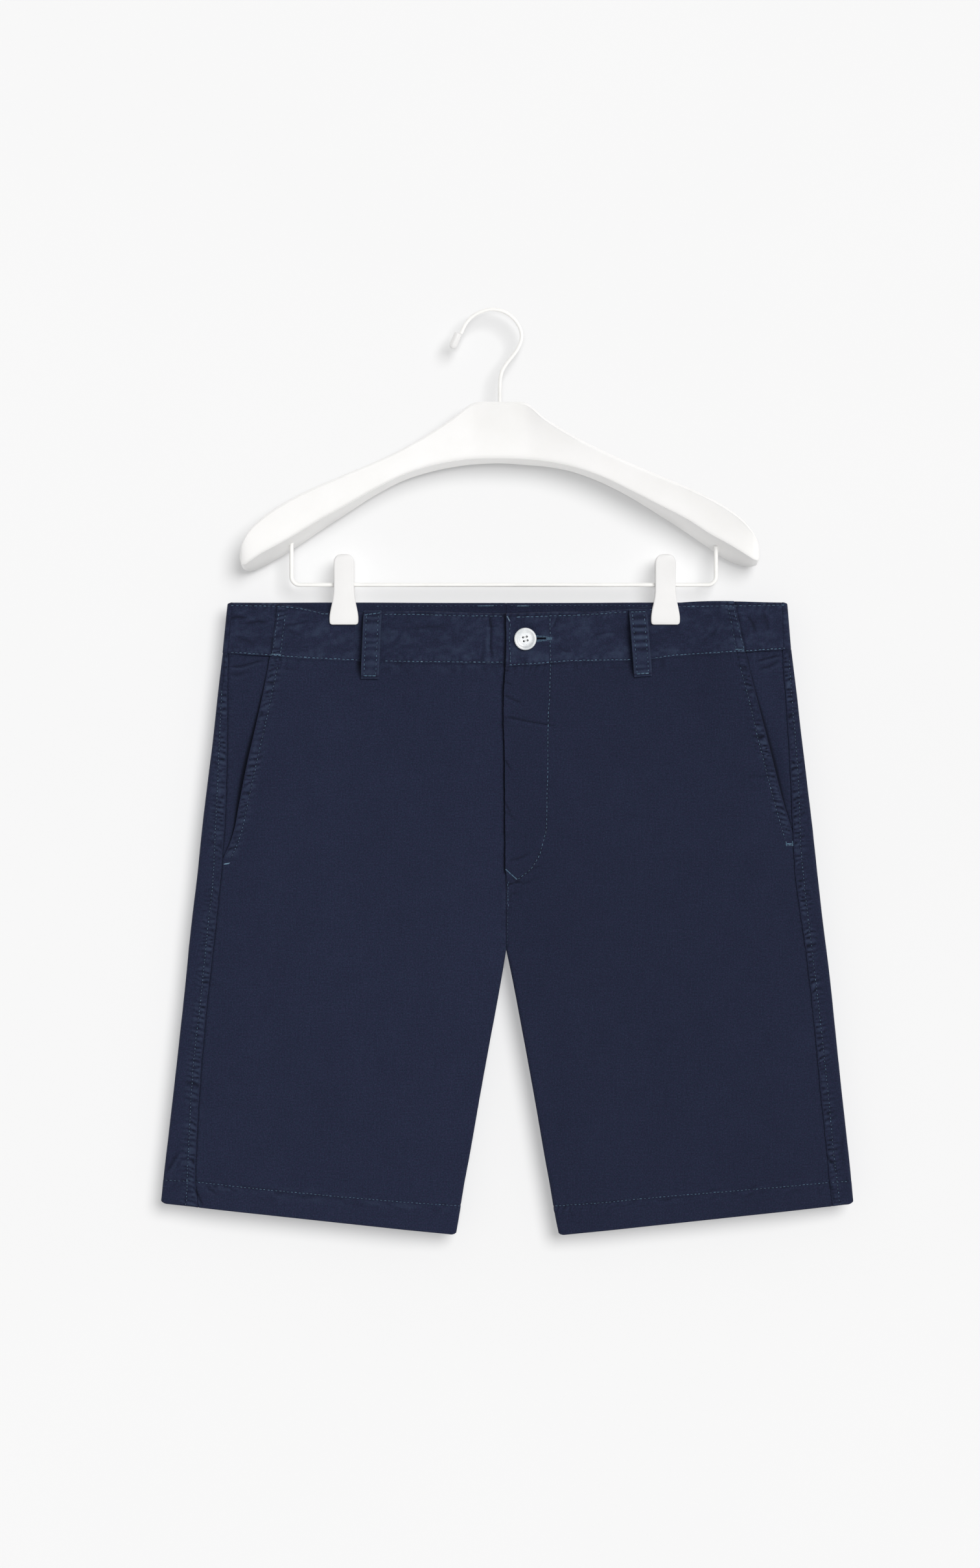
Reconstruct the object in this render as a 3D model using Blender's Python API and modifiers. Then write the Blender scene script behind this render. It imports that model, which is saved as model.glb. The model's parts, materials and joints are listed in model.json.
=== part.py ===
"""Bermuda shorts hanging flat from the two clips of a clip hanger.

Lengths are millimetres until a mesh is made, when MM turns them into metres.
+Z is up, the front faces -Y and +X is the wearer's left. The origin is the
inner crown of the hook, where the hanger rests on whatever carries it.

The cloth is a flattened tube. Every point of it is found from a section
number v (0 at the waist seam, CROTCH at the fork, HEM at the hem edge), a
share u of the way from the outer fold (0) to the centre or inner fold (1),
and the half gap between front and back at that place.
"""

import math

import bmesh
import bpy
from mathutils import Matrix, Vector

MM = 0.001

# Cloth and clearances
CLOTH = 1.2  # one leg panel, seam allowances included
BAND = 2.0  # waistband: two layers and interlining
LOOP = 1.6  # belt loop, folded in four
SEAM = 0.3  # gap between neighbouring pieces
FOLD = 2.6  # radius of the outer and inner folds, at mid cloth
LAP = 1.6  # how far one panel stands over another that it laps
BAND_LAP = 2.4  # the same for the waistband

# Plan of the garment
CENTRE_X = 13.5  # centre front and centre back
CROTCH, HEM_STITCH, HEM = 9, 16, 17
BACK_TOP_Z = -243.3
FLAP_X = 11.9  # free edge of the fly flap
UNDER_X = 15.7  # right front's edge, under the flap
UNDERLAP_X = 44.3  # far edge of the underlap
FLY_END_Z = -466.3
FLAP_FALL = (46.0, 82.0)  # where the flap's lift dies away
PINCH = 1.7  # half gap where a clip holds the waistband
CLIP_X = (-121.8, 146.3)
PINCH_FLAT, PINCH_REACH, PINCH_DROP = 16.0, 40.0, 60.0

# One row a section, from waist seam to hem.
COLUMNS = ("outer_z", "front_z", "back_z", "outer_x", "seam_x", "inner_x", "bulge")
LEG_RIGHT = (
    (-285.9, -294.6, -284.3, -223.4, -218.6, 13.5, 8.6),
    (-305.9, -314.0, -306.5, -225.8, -219.0, 13.5, 8.6),
    (-325.9, -333.5, -326.4, -228.0, -219.2, 13.5, 8.4),
    (-362.1, -368.0, -362.6, -231.9, -219.4, 13.5, 8.2),
    (-393.9, -398.2, -394.5, -235.8, -220.0, 13.5, 8.0),
    (-425.8, -428.5, -426.3, -239.6, -221.2, 13.5, 7.7),
    (-465.2, -466.3, -465.2, -243.8, -224.0, 13.5, 7.2),
    (-495.5, -496.0, -495.5, -247.5, -227.0, 13.5, 6.8),
    (-514.9, -515.4, -514.9, -249.7, -229.0, 13.5, 6.6),
    (-532.2, -533.2, -533.2, -251.6, -231.0, 13.5, 6.5),
    (-551.6, -553.8, -553.8, -253.5, -233.2, 10.1, 6.4),
    (-572.7, -577.0, -577.0, -255.7, -235.6, 6.0, 6.3),
    (-607.2, -614.2, -614.2, -259.5, -239.0, -0.8, 6.2),
    (-648.3, -658.5, -658.5, -263.9, -242.2, -8.7, 6.1),
    (-688.8, -703.9, -703.9, -268.6, -244.6, -16.6, 6.0),
    (-708.2, -726.0, -726.0, -270.9, -245.4, -20.8, 6.0),
    (-725.5, -746.6, -746.6, -272.8, -245.6, -24.2, 6.0),
    (-744.7, -771.1, -771.1, -274.5, -243.5, -28.1, 6.0),
)
LEG_LEFT = (
    (-282.7, -296.9, -284.3, 251.4, 244.2, 13.5, 8.6),
    (-303.2, -316.1, -303.8, 253.9, 245.0, 13.5, 8.6),
    (-323.7, -335.0, -324.3, 256.4, 246.8, 13.5, 8.4),
    (-360.5, -368.6, -361.0, 260.7, 249.3, 13.5, 8.2),
    (-392.9, -398.8, -393.4, 264.5, 250.9, 13.5, 8.0),
    (-425.2, -429.0, -425.8, 268.3, 252.2, 13.5, 7.7),
    (-464.7, -466.3, -465.2, 272.5, 254.2, 13.5, 7.2),
    (-495.5, -496.0, -495.5, 276.0, 257.7, 13.5, 6.8),
    (-514.9, -515.4, -514.9, 278.4, 260.7, 13.5, 6.6),
    (-532.2, -533.2, -533.2, 280.8, 263.3, 13.5, 6.5),
    (-551.6, -553.8, -553.8, 283.3, 265.7, 17.9, 6.4),
    (-572.7, -577.0, -577.0, 285.7, 268.1, 22.4, 6.3),
    (-607.2, -614.2, -614.2, 289.2, 271.7, 29.3, 6.2),
    (-648.3, -658.5, -658.5, 293.4, 275.4, 37.2, 6.1),
    (-688.8, -703.9, -703.9, 297.7, 279.8, 45.2, 6.0),
    (-708.2, -726.0, -726.0, 299.9, 281.8, 49.2, 6.0),
    (-726.0, -747.1, -747.1, 301.6, 283.4, 52.8, 6.0),
    (-745.2, -771.4, -771.4, 303.2, 285.9, 57.5, 6.0),
)
LEGS = {"right": LEG_RIGHT, "left": LEG_LEFT}

# Curves over x or down z: (where, value) rows
WAIST_SEAM = {
    "right": ((-224.0, -285.9), (-188.5, -288.1), (-156.6, -290.4), (-92.3, -293.3), (-21.6, -294.6), (46.0, -295.0)),
    "left": ((11.0, -297.3), (43.2, -295.4), (64.0, -293.6), (113.4, -292.3), (134.5, -291.0), (157.1, -288.4), (179.8, -287.0), (219.8, -284.6), (252.0, -282.7)),
}
FRONT_TOP = {
    "right": ((-220.0, -243.3), (-177.1, -244.7), (-162.6, -246.7), (-147.2, -249.8), (-135.0, -251.6), (-109.1, -251.6), (-62.6, -250.9), (-11.3, -252.5), (46.0, -253.0)),
    "left": ((11.0, -253.0), (40.0, -252.2), (64.3, -251.6), (88.6, -251.4), (111.8, -249.2), (134.5, -246.5), (157.1, -243.7), (249.0, -243.3)),
}
# pocket edge: z down, x
POCKET_EDGE = {
    "right": ((-243.0, -177.0), (-290.8, -183.6), (-346.4, -194.6), (-378.3, -201.7), (-414.5, -209.0), (-433.4, -212.9), (-446.3, -217.4), (-458.2, -222.9)),
    "left": ((-243.0, 203.5), (-281.6, 212.0), (-324.3, 222.1), (-363.7, 232.0), (-389.1, 238.3), (-411.2, 244.4), (-431.7, 251.0), (-440.0, 252.9)),
}
POCKET_END_Z = {"right": -457.0, "left": -439.0}
BAND_END_X = {"right": (-214.6, -218.4), "left": (243.4, 244.2)}  # side seam in the waistband: top, bottom
BAND_FOLD_X = {"right": (-219.2, -223.4), "left": (248.3, 251.4)}  # outer fold: top, bottom
FACING_TUCK = 12.0

# Belt loops: top x, bottom x (centres), top z, bottom z, on the front or the back
LOOP_WIDTH, LOOP_BOW, LOOP_EASE = 15.0, 5.2, 0.6
LOOPS = {
    "belt_loop_front_right": (-97.8, -100.2, -250.4, -307.4, "front"),
    "belt_loop_front_left": (123.2, 127.6, -249.2, -305.4, "front"),
    "belt_loop_back_right": (-98.0, -98.0, -241.8, -298.0, "back"),
    "belt_loop_back_left": (122.5, 122.5, -241.8, -298.0, "back"),
    "belt_loop_back_centre": (13.5, 13.5, -241.8, -298.0, "back"),
}

# Button and its hole
BUTTON_AT, BUTTON_R, BUTTON_T = (29.4, -274.3), 9.3, 3.0
BUTTON_HOLE_R, BUTTON_HOLE_AT, BUTTON_TURN = 0.85, 2.25, 12.0
BUTTONHOLE = (31.0, 51.0, 0.9)  # from x, to x, height

# Hanger: x, top, front lower edge, back lower edge, half depth
HANGER = (
    (-208.7, -202.4, -207.6, -208.4, 4.0),
    (-207.6, -197.4, -211.0, -212.6, 8.0),
    (-204.9, -190.8, -212.4, -216.0, 11.5),
    (-199.8, -182.9, -209.6, -216.9, 14.0),
    (-192.2, -175.6, -204.4, -213.8, 15.0),
    (-178.7, -165.4, -197.2, -206.6, 15.0),
    (-162.5, -155.9, -188.0, -196.8, 14.6),
    (-143.6, -146.8, -176.4, -184.0, 14.0),
    (-122.0, -137.6, -164.4, -170.0, 13.2),
    (-97.7, -127.4, -150.5, -154.3, 12.2),
    (-73.4, -116.0, -138.2, -141.6, 11.2),
    (-49.1, -101.8, -130.0, -133.7, 10.2),
    (-30.2, -89.0, -126.2, -129.8, 9.4),
    (-12.6, -76.9, -124.2, -127.6, 9.0),
    (-9.4, -76.4, -124.1, -127.4, 9.0),
    (9.0, -76.4, -123.9, -126.8, 9.0),
    (26.0, -76.4, -124.4, -127.8, 9.0),
    (29.2, -77.0, -124.6, -128.1, 9.0),
    (45.4, -89.6, -126.1, -129.4, 9.4),
    (67.0, -103.2, -130.4, -133.3, 10.2),
    (91.3, -115.8, -138.3, -141.9, 11.2),
    (115.6, -127.0, -149.9, -154.0, 12.2),
    (139.9, -137.4, -162.4, -168.8, 13.2),
    (164.2, -147.8, -175.0, -184.4, 14.0),
    (183.1, -156.8, -187.2, -197.4, 14.6),
    (196.6, -164.6, -194.6, -206.4, 15.0),
    (207.4, -172.4, -201.0, -211.2, 15.0),
    (215.5, -180.5, -206.0, -213.0, 14.0),
    (220.9, -188.2, -208.6, -212.4, 11.5),
    (223.8, -194.6, -207.8, -210.0, 8.0),
    (224.9, -199.6, -204.6, -205.6, 4.0),
)
HANGER_ROUND = 2.4

# Hook wire, centre line: x, z
WIRE_R = 1.5
HOOK = (
    (7.9, -80.0), (8.0, -70.0), (8.4, -59.0), (9.7, -51.2), (13.2, -44.8), (18.0, -38.6), (22.6, -32.3), (25.4, -26.2),
    (26.3, -20.6), (25.2, -14.8), (22.2, -9.2), (17.9, -4.6), (12.6, -1.0), (6.6, 1.0), (0.2, 1.5), (-6.0, 0.0),
    (-11.8, -2.6), (-16.8, -6.4), (-20.8, -11.4), (-23.4, -16.8), (-24.3, -18.95),
)
TIP = ((-26.5, -18.5), (-30.6, -28.3), 3.2)  # middle of its top, middle of its round end, half width

# Trouser bar: the wire under the hanger that the clips slide on
BAR_R, BAR_Z, BAR_X, BAR_BEND = 1.75, -228.7, (-165.8, 188.7), 7.0
BAR_TOP_Z = (-190.6, -196.6)
SOCKET = 9.0  # depth of the holes for the hook and the bar

# Clip jaw, front one, from its top: z, half width, y of its middle, thickness
CLIP_JAW = (
    (-203.3, 2.4, -6.7, 1.2),
    (-204.0, 4.9, -6.7, 1.9),
    (-205.6, 6.8, -6.7, 2.4),
    (-208.2, 8.1, -6.6, 2.5),
    (-211.8, 8.5, -6.4, 2.5),
    (-220.0, 8.5, -5.9, 2.5),
    (-228.7, 8.5, -5.5, 2.5),
    (-236.0, 8.7, -5.4, 2.5),
    (-243.0, 9.7, -5.1, 2.6),
    (-249.0, 11.0, -4.7, 2.8),
    (-255.0, 12.0, -4.5, 2.9),
    (-259.6, 12.0, -4.4, 2.7),
    (-261.3, 11.4, -4.4, 2.2),
    (-262.0, 10.2, -4.4, 1.4),
)
BARREL_R, BARREL_HALF = 3.6, 6.0

NAVY = (0.022, 0.026, 0.062, 1.0)
WHITE = (0.90, 0.90, 0.89, 1.0)
PEARL = (0.78, 0.79, 0.78, 1.0)


def smooth(t):
    t = min(max(t, 0.0), 1.0)
    return t * t * (3.0 - 2.0 * t)


def mix(a, b, t):
    return a + (b - a) * t


def curve(rows, at):
    """A value read off (where, value) rows, on straight runs between them."""
    rows = sorted(rows)
    if at <= rows[0][0]:
        return rows[0][1]
    for (a, va), (b, vb) in zip(rows, rows[1:]):
        if at <= b:
            return mix(va, vb, (at - a) / (b - a))
    return rows[-1][1]


def section(side, v):
    """The leg table's columns at any section number, on a smooth curve."""
    rows = LEGS[side]
    i = min(int(v), len(rows) - 2)
    t = v - i
    before, a, b, after = rows[max(i - 1, 0)], rows[i], rows[i + 1], rows[min(i + 2, len(rows) - 1)]
    if i == CROTCH:
        before = tuple(2 * p - q for p, q in zip(a, b))
    if i == CROTCH - 1:
        after = tuple(2 * q - p for p, q in zip(a, b))
    values = [
        0.5 * (2 * q + (r - p) * t + (2 * p - 5 * q + 4 * r - s) * t * t + (3 * q - p - 3 * r + s) * t * t * t)
        for p, q, r, s in zip(before, a, b, after)
    ]
    return dict(zip(COLUMNS, values))


def arc(d):
    """Height of a quarter round at a distance d from its tip, as a share of its radius."""
    q = min(max(d / FOLD, 0.0), 1.0)
    return math.sqrt(1.0 - (1.0 - q) ** 2)


def open_share(side, z):
    """0 at the fork, where front and back meet, 1 a little above it."""
    return smooth((z - LEGS[side][CROTCH][1]) / 14.0)


def pinch(x, drop):
    """1 in free cloth, 0 where a clip holds the waistband."""
    held = 0.0
    for clip in CLIP_X:
        away = max(0.0, abs(x - clip) - PINCH_FLAT) / PINCH_REACH
        held = max(held, math.exp(-away * away))
    below = max(0.0, drop - 25.0) / PINCH_DROP
    return 1.0 - held * math.exp(-below * below)


def half_gap(bulge, x, z, outer, inner, above_fork, centre_share):
    """Half the gap between the middles of the front and back cloth."""
    from_outer, from_inner = abs(x - outer), abs(inner - x)
    at_inner = smooth(from_inner / 50.0)
    full = FOLD + (bulge - FOLD) * smooth(from_outer / 60.0) * mix(at_inner, 1.0, centre_share)
    full = PINCH + (full - PINCH) * pinch(x, BACK_TOP_Z - z)
    return full * arc(from_outer) * mix(arc(from_inner), 1.0, above_fork)


def edges(side, v):
    """Mid-cloth x of the outer fold and of the centre or inner fold."""
    row = section(side, v)
    sign = -1.0 if side == "right" else 1.0
    share = smooth((row["front_z"] - LEGS[side][CROTCH][1]) / 26.0)
    outer = row["outer_x"] - sign * CLOTH / 2
    inner = row["inner_x"] + sign * mix(CLOTH / 2 + SEAM + 0.1, SEAM / 2, share * share)
    return row, outer, inner


def leg_point(side, v, x, face, out=0.0):
    """A point of the leg at section v and width x, on its front or back, moved out by so much."""
    row, outer, inner = edges(side, v)
    u = (x - outer) / (inner - outer)
    z = mix(row["outer_z"], row["front_z" if face == "front" else "back_z"], u)
    if face == "front":
        top = LEGS[side][0]
        sag = curve(WAIST_SEAM[side], x) - mix(top[0], top[1], u)
        z += sag * (1.0 - smooth(v / 3.0))
    gap = half_gap(row["bulge"], x, z, outer, inner, open_share(side, z), smooth((z - LEGS[side][CROTCH][1]) / 150.0))
    y = max(gap, SEAM) + out
    return Vector((x, -y if face == "front" else y, z))


def at_height(side, x_of_z, v):
    """The x where a curve x(z) crosses section v of the front."""
    x = x_of_z(section(side, v)["outer_z"])
    for _ in range(4):
        x = x_of_z(leg_point(side, v, x, "front").z)
    return x


def lift(x):
    """How much of the flap's lift is left at x."""
    return 1.0 - smooth((x - FLAP_FALL[0]) / (FLAP_FALL[1] - FLAP_FALL[0]))


def fly(z):
    """1 along the fly, 0 below it."""
    return 1.0 - smooth((FLY_END_Z - z) / 6.0)


# Meshes ------------------------------------------------------------------


def material(name, colour, roughness):
    made = bpy.data.materials.new(name)
    made.use_nodes = True
    shader = made.node_tree.nodes["Principled BSDF"]
    shader.inputs["Base Color"].default_value = colour
    shader.inputs["Roughness"].default_value = roughness
    shader.inputs["Metallic"].default_value = 0.0
    return made


def finish(name, mesh, looks, group, sharp=40.0):
    mesh.name = name
    made = bpy.data.objects.new(name, mesh)
    group.objects.link(made)
    mesh.materials.append(material(name + "_finish", *looks))
    mesh.shade_smooth()
    mesh.set_sharp_from_angle(angle=math.radians(sharp))
    return made


def sheet(name, points, thickness, looks, group):
    """A cloth panel: a grid laid on rows of points, then given its thickness."""
    rows, columns = len(points), len(points[0])
    bm = bmesh.new()
    bmesh.ops.create_grid(bm, x_segments=columns - 1, y_segments=rows - 1, size=1.0)
    for vertex in bm.verts:
        i = round((vertex.co.x + 1.0) / 2.0 * (columns - 1))
        j = round((vertex.co.y + 1.0) / 2.0 * (rows - 1))
        vertex.co = points[j][i] * MM
    mesh = bpy.data.meshes.new(name)
    bm.to_mesh(mesh)
    bm.free()
    made = finish(name, mesh, looks, group)
    wall = made.modifiers.new("Wall", "SOLIDIFY")
    wall.thickness = thickness * MM
    wall.offset = 0.0
    wall.use_even_offset = True
    wall.use_rim = True
    return made


def loft(name, rings, looks, group, sharp=40.0):
    """A solid through rings of unlike sections, closed at both ends."""
    bm = bmesh.new()
    loops = [[bm.verts.new(p * MM) for p in ring] for ring in rings]
    count = len(rings[0])
    for a, b in zip(loops, loops[1:]):
        for i in range(count):
            j = (i + 1) % count
            bm.faces.new((a[i], a[j], b[j], b[i]))
    bm.faces.new(loops[0])
    bm.faces.new(loops[-1])
    bmesh.ops.recalc_face_normals(bm, faces=bm.faces)
    mesh = bpy.data.meshes.new(name)
    bm.to_mesh(mesh)
    bm.free()
    return finish(name, mesh, looks, group, sharp)


def wire(name, points, radius, looks, group):
    """A round wire along a smooth path of points, with filled ends."""
    data = bpy.data.curves.new(name, "CURVE")
    data.dimensions = "3D"
    data.bevel_depth = radius * MM
    data.bevel_resolution = 3
    data.use_fill_caps = True
    data.render_resolution_u = 0
    spline = data.splines.new("POLY")
    spline.points.add(len(points) - 1)
    for target, point in zip(spline.points, points):
        target.co = (*(point * MM), 1.0)
    made = bpy.data.objects.new(name, data)
    group.objects.link(made)
    data.materials.append(material(name + "_finish", *looks))
    return made


def through(points, steps):
    """A smooth line through points, with so many steps between each two."""
    line = []
    last = len(points) - 1
    for i in range(last):
        p, q, r, s = points[max(i - 1, 0)], points[i], points[i + 1], points[min(i + 2, last)]
        for k in range(steps):
            t = k / steps
            line.append(0.5 * (2 * q + (r - p) * t + (2 * p - 5 * q + 4 * r - s) * t * t + (3 * q - p - 3 * r + s) * t ** 3))
    line.append(points[-1])
    return line


def cut(target, cutter, cutters):
    for group in cutter.users_collection:
        group.objects.unlink(cutter)
    cutters.objects.link(cutter)
    cutter.hide_render = True
    cutter.display_type = "WIRE"
    hole = target.modifiers.new("Cut", "BOOLEAN")
    hole.operation = "DIFFERENCE"
    hole.solver = "EXACT"
    hole.object = cutter


def round_cutter(name, at, radius, depth, axis):
    bpy.ops.mesh.primitive_cylinder_add(vertices=16, radius=radius * MM, depth=depth * MM, location=Vector(at) * MM, rotation=axis)
    made = bpy.context.object
    made.name = name
    return made


# Garment -----------------------------------------------------------------

FRONT_ROWS = (0.02, 1, 2, 3, 4, 5, 5.45, 6, 6.2, 6.7, 7, 8, 8.55, 8.85, 9, 9.4, 10, 11, 12, 13, 14, 15, 16, 17)
BACK_ROWS = (0.02, 1, 2, 3, 4, 5, 6, 7, 8, 8.55, 8.85, 9, 9.4, 10, 11, 12, 13, 14, 15, 16, 17)
NEAR_FOLD = (0.0, 0.35, 1.3, 2.6)
NEAR_INNER = (8.0, 18.0, 32.0, 50.0)
NEAR_OUTER = (7.0, 18.0, 36.0, 60.0)


def front_edge(side, v, sign):
    """Outer boundary of the front panel: pocket edge, then side seam."""
    row = section(side, v)
    seam = row["seam_x"] - sign * SEAM / 2
    if row["outer_z"] > POCKET_END_Z[side]:
        pocket = at_height(side, lambda z: curve(POCKET_EDGE[side], z), v)
        return pocket if sign * pocket < sign * seam else seam
    return seam


def front_panel(side, group):
    sign = -1.0 if side == "right" else 1.0
    points = []
    for v in FRONT_ROWS:
        row, outer, inner = edges(side, v)
        start = front_edge(side, v, sign)
        on_fly = fly(row["front_z"])
        if side == "right":
            stop = mix(inner, UNDER_X - SEAM / 2, on_fly)
        else:
            stop = mix(inner, FLAP_X, on_fly)
        marks = [start, start - sign * 6.0, start - sign * 14.0]
        marks += [mix(start - sign * 24.0, stop + sign * NEAR_INNER[-1], k / 5) for k in range(5)]
        marks += [stop + sign * d for d in reversed(NEAR_FOLD + NEAR_INNER)]
        held = 1.0 - smooth((FLY_END_Z - 6.0 - row["front_z"]) / 14.0)
        line = []
        for x in marks:
            out = LAP * lift(x) * held if side == "left" else 0.0
            line.append(leg_point(side, v, x, "front", out))
        points.append(line)
    sheet("front_panel_" + side, points, CLOTH, (NAVY, 0.9), group)


def back_panel(side, group):
    sign = -1.0 if side == "right" else 1.0
    points = []
    for v in BACK_ROWS:
        row, outer, inner = edges(side, v)
        seam = row["seam_x"] + sign * SEAM / 2
        back = [inner + sign * d for d in NEAR_FOLD + NEAR_INNER]
        ends = [outer - sign * d for d in reversed(NEAR_FOLD + NEAR_OUTER)]
        back += [mix(back[-1], ends[0], s) for s in (0.33, 0.66)] + ends
        front = [outer - sign * d for d in NEAR_FOLD[1:]]
        front += [mix(front[-1], seam, 0.5), seam]
        line = [leg_point(side, v, x, "back") for x in back]
        line[-1].y = 0.0
        line += [leg_point(side, v, x, "front") for x in front]
        points.append(line)
    sheet("back_panel_" + side, points, CLOTH, (NAVY, 0.9), group)


def pocket_facing(side, group):
    sign = -1.0 if side == "right" else 1.0
    points = []
    for v in (0.03, 0.7, 1.5, 2.5, 3.5, 4.5, 5.35) if side == "left" else (0.03, 0.7, 1.5, 2.5, 3.5, 4.5, 5.6):
        row = section(side, v)
        start = row["seam_x"] - sign * SEAM
        stop = at_height(side, lambda z: curve(POCKET_EDGE[side], z), v) - sign * FACING_TUCK
        points.append([leg_point(side, v, mix(start, stop, s), "front", -LAP) for s in (0.0, 0.3, 0.55, 0.8, 1.0)])
    sheet("pocket_facing_" + side, points, CLOTH, (NAVY, 0.9), group)


def fly_underlap(group):
    points = []
    for v in (0.05, 1, 2, 3, 4, 5, 5.95):
        points.append([leg_point("left", v, mix(UNDER_X + SEAM / 2, UNDERLAP_X, s), "front") for s in (0.0, 0.5, 1.0)])
    sheet("fly_underlap", points, CLOTH, (NAVY, 0.9), group)


def band_point(side, x, t, face, out=0.0):
    """A point of the waistband, t from its lower edge (0) to its top (1)."""
    sign = -1.0 if side == "right" else 1.0
    outer = mix(BAND_FOLD_X[side][1], BAND_FOLD_X[side][0], t) - sign * BAND / 2
    if face == "front":
        low, top = curve(WAIST_SEAM[side], x), curve(FRONT_TOP[side], x)
    else:
        low, top = LEGS[side][0][0], BACK_TOP_Z
        low = mix(low, LEGS[side][0][2], (x - outer) / (CENTRE_X - outer))
    low += SEAM
    z = mix(low, top, t)
    gap = half_gap(LEGS[side][0][6], x, z, outer, CENTRE_X, 1.0, 1.0)
    y = gap + out
    return Vector((x, -y if face == "front" else y, z))


BAND_ROWS = (0.0, 0.35, 0.7, 1.0)


def band(name, side, face, xs_of_t, out, group):
    points = []
    for t in BAND_ROWS:
        points.append([band_point(side, x, t, face, out(x)) for x in xs_of_t(t)])
    return sheet(name, points, BAND, (NAVY, 0.9), group)


def waistband(group, cutters):
    none = lambda x: 0.0
    ends = {side: (lambda t, side=side: mix(BAND_END_X[side][1], BAND_END_X[side][0], t)) for side in LEGS}
    pocket = {
        "right": lambda t: mix(-182.6, -177.2, t),
        "left": lambda t: mix(212.8, 203.9, t),
    }
    spread = lambda a, b, n: [mix(a, b, k / n) for k in range(n + 1)]
    # front right, on under the flap
    def right(t):
        start = pocket["right"](t) + SEAM / 2
        return spread(start, -138.0, 2)[:-1] + spread(-138.0, -106.0, 2)[:-1] + [-106.0, -92.0, -74.0, -54.0, -24.0, 10.0, UNDERLAP_X]
    band("waistband_front_right", "right", "front", right, none, group)
    # front left: its end is the flap
    def left(t):
        stop = pocket["left"](t) - SEAM / 2
        return [FLAP_X, 28.0, 46.0, 58.0, 70.0, 82.0, 98.0, 114.0, 130.0, 146.3, 162.5, 182.0, stop]
    made = band("waistband_front_left", "left", "front", left, lambda x: BAND_LAP * lift(x), group)
    from_x, to_x, height = BUTTONHOLE
    bpy.ops.mesh.primitive_cube_add(size=1.0, location=Vector(((from_x + to_x) / 2, -11.0, BUTTON_AT[1] + 0.4)) * MM)
    slit = bpy.context.object
    slit.name = "buttonhole_cutter"
    slit.data.transform(Matrix.Diagonal(((to_x - from_x) * MM, 6.0 * MM, height * MM, 1.0)))
    cut(made, slit, cutters)
    for side in LEGS:
        sign = -1.0 if side == "right" else 1.0
        band("waistband_side_" + side, side, "front",
             lambda t: spread(pocket[side](t) + sign * SEAM / 2, ends[side](t) - sign * SEAM / 2, 3), none, group)
        points = []
        for t in BAND_ROWS:
            outer = mix(BAND_FOLD_X[side][1], BAND_FOLD_X[side][0], t) - sign * BAND / 2
            back = [CENTRE_X + sign * SEAM / 2] + [CENTRE_X + sign * d for d in (30.0, 70.0, 94.0, 112.0, 124.0, 152.0, 175.0)]
            back += [outer - sign * d for d in reversed(NEAR_FOLD + (7.0, 18.0, 30.0))]
            end = ends[side](t) + sign * SEAM / 2
            front = [outer - sign * d for d in NEAR_FOLD[1:]] + [end]
            line = [band_point(side, x, t, "back") for x in back]
            line[-1].y = 0.0
            line += [band_point(side, x, t, "front") for x in front]
            points.append(line)
        sheet("waistband_back_" + side, points, BAND, (NAVY, 0.9), group)


def belt_loops(group):
    stations = (0.0, 0.07, 0.15, 0.24, 0.37, 0.5, 0.63, 0.76, 0.85, 0.93, 1.0)
    for name, (top_x, low_x, top_z, low_z, face) in LOOPS.items():
        points = []
        for s in stations:
            rise = smooth(min(s, 1.0 - s) / 0.24)
            line = []
            for across in (-0.5, 0.0, 0.5):
                x = mix(top_x, low_x, s) + across * LOOP_WIDTH
                z = mix(top_z, low_z, s) + across * (1.2 if name.endswith("front_left") else 0.0) * s
                side = "right" if x < CENTRE_X else "left"
                sign = -1.0 if side == "right" else 1.0
                outer = BAND_FOLD_X[side][1] - sign * BAND / 2
                gap = half_gap(LEGS[side][0][6], x, z, outer, CENTRE_X, 1.0, 1.0)
                y = gap + BAND / 2 + SEAM + LOOP / 2 + LOOP_BOW * rise + LOOP_EASE
                line.append(Vector((x, -y if face == "front" else y, z)))
            points.append(line)
        sheet(name, points, LOOP, (NAVY, 0.9), group)


def button(group, cutters):
    """Turned about Y: a disc with a raised rim and a dished middle, then four holes."""
    x, z = BUTTON_AT
    face = band_point("left", x, 0.5, "front", BAND_LAP).y - BAND / 2 - SEAM - 0.1
    profile = ((0.0, BUTTON_T * 0.62), (5.6, BUTTON_T * 0.62), (6.6, BUTTON_T * 0.8), (7.4, BUTTON_T * 0.97), (8.2, BUTTON_T),
               (8.9, BUTTON_T * 0.86), (BUTTON_R, BUTTON_T * 0.5), (8.7, BUTTON_T * 0.14), (7.6, 0.0), (0.0, 0.0))
    rings = []
    count = 28
    for r, h in profile[1:-1]:
        rings.append([Vector((x + r * math.cos(a), face - h, z + r * math.sin(a))) for a in [2 * math.pi * k / count for k in range(count)]])
    made = loft("button", rings, (PEARL, 0.3), group, 30.0)
    for k in range(4):
        a = math.radians(45.0 + BUTTON_TURN + 90.0 * k)
        at = (x + BUTTON_HOLE_AT * math.cos(a), face - BUTTON_T / 2, z + BUTTON_HOLE_AT * math.sin(a))
        cut(made, round_cutter("button_hole_cutter_%d" % k, at, BUTTON_HOLE_R, 8.0, (math.pi / 2, 0, 0)), cutters)


# Hanger ------------------------------------------------------------------


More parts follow.
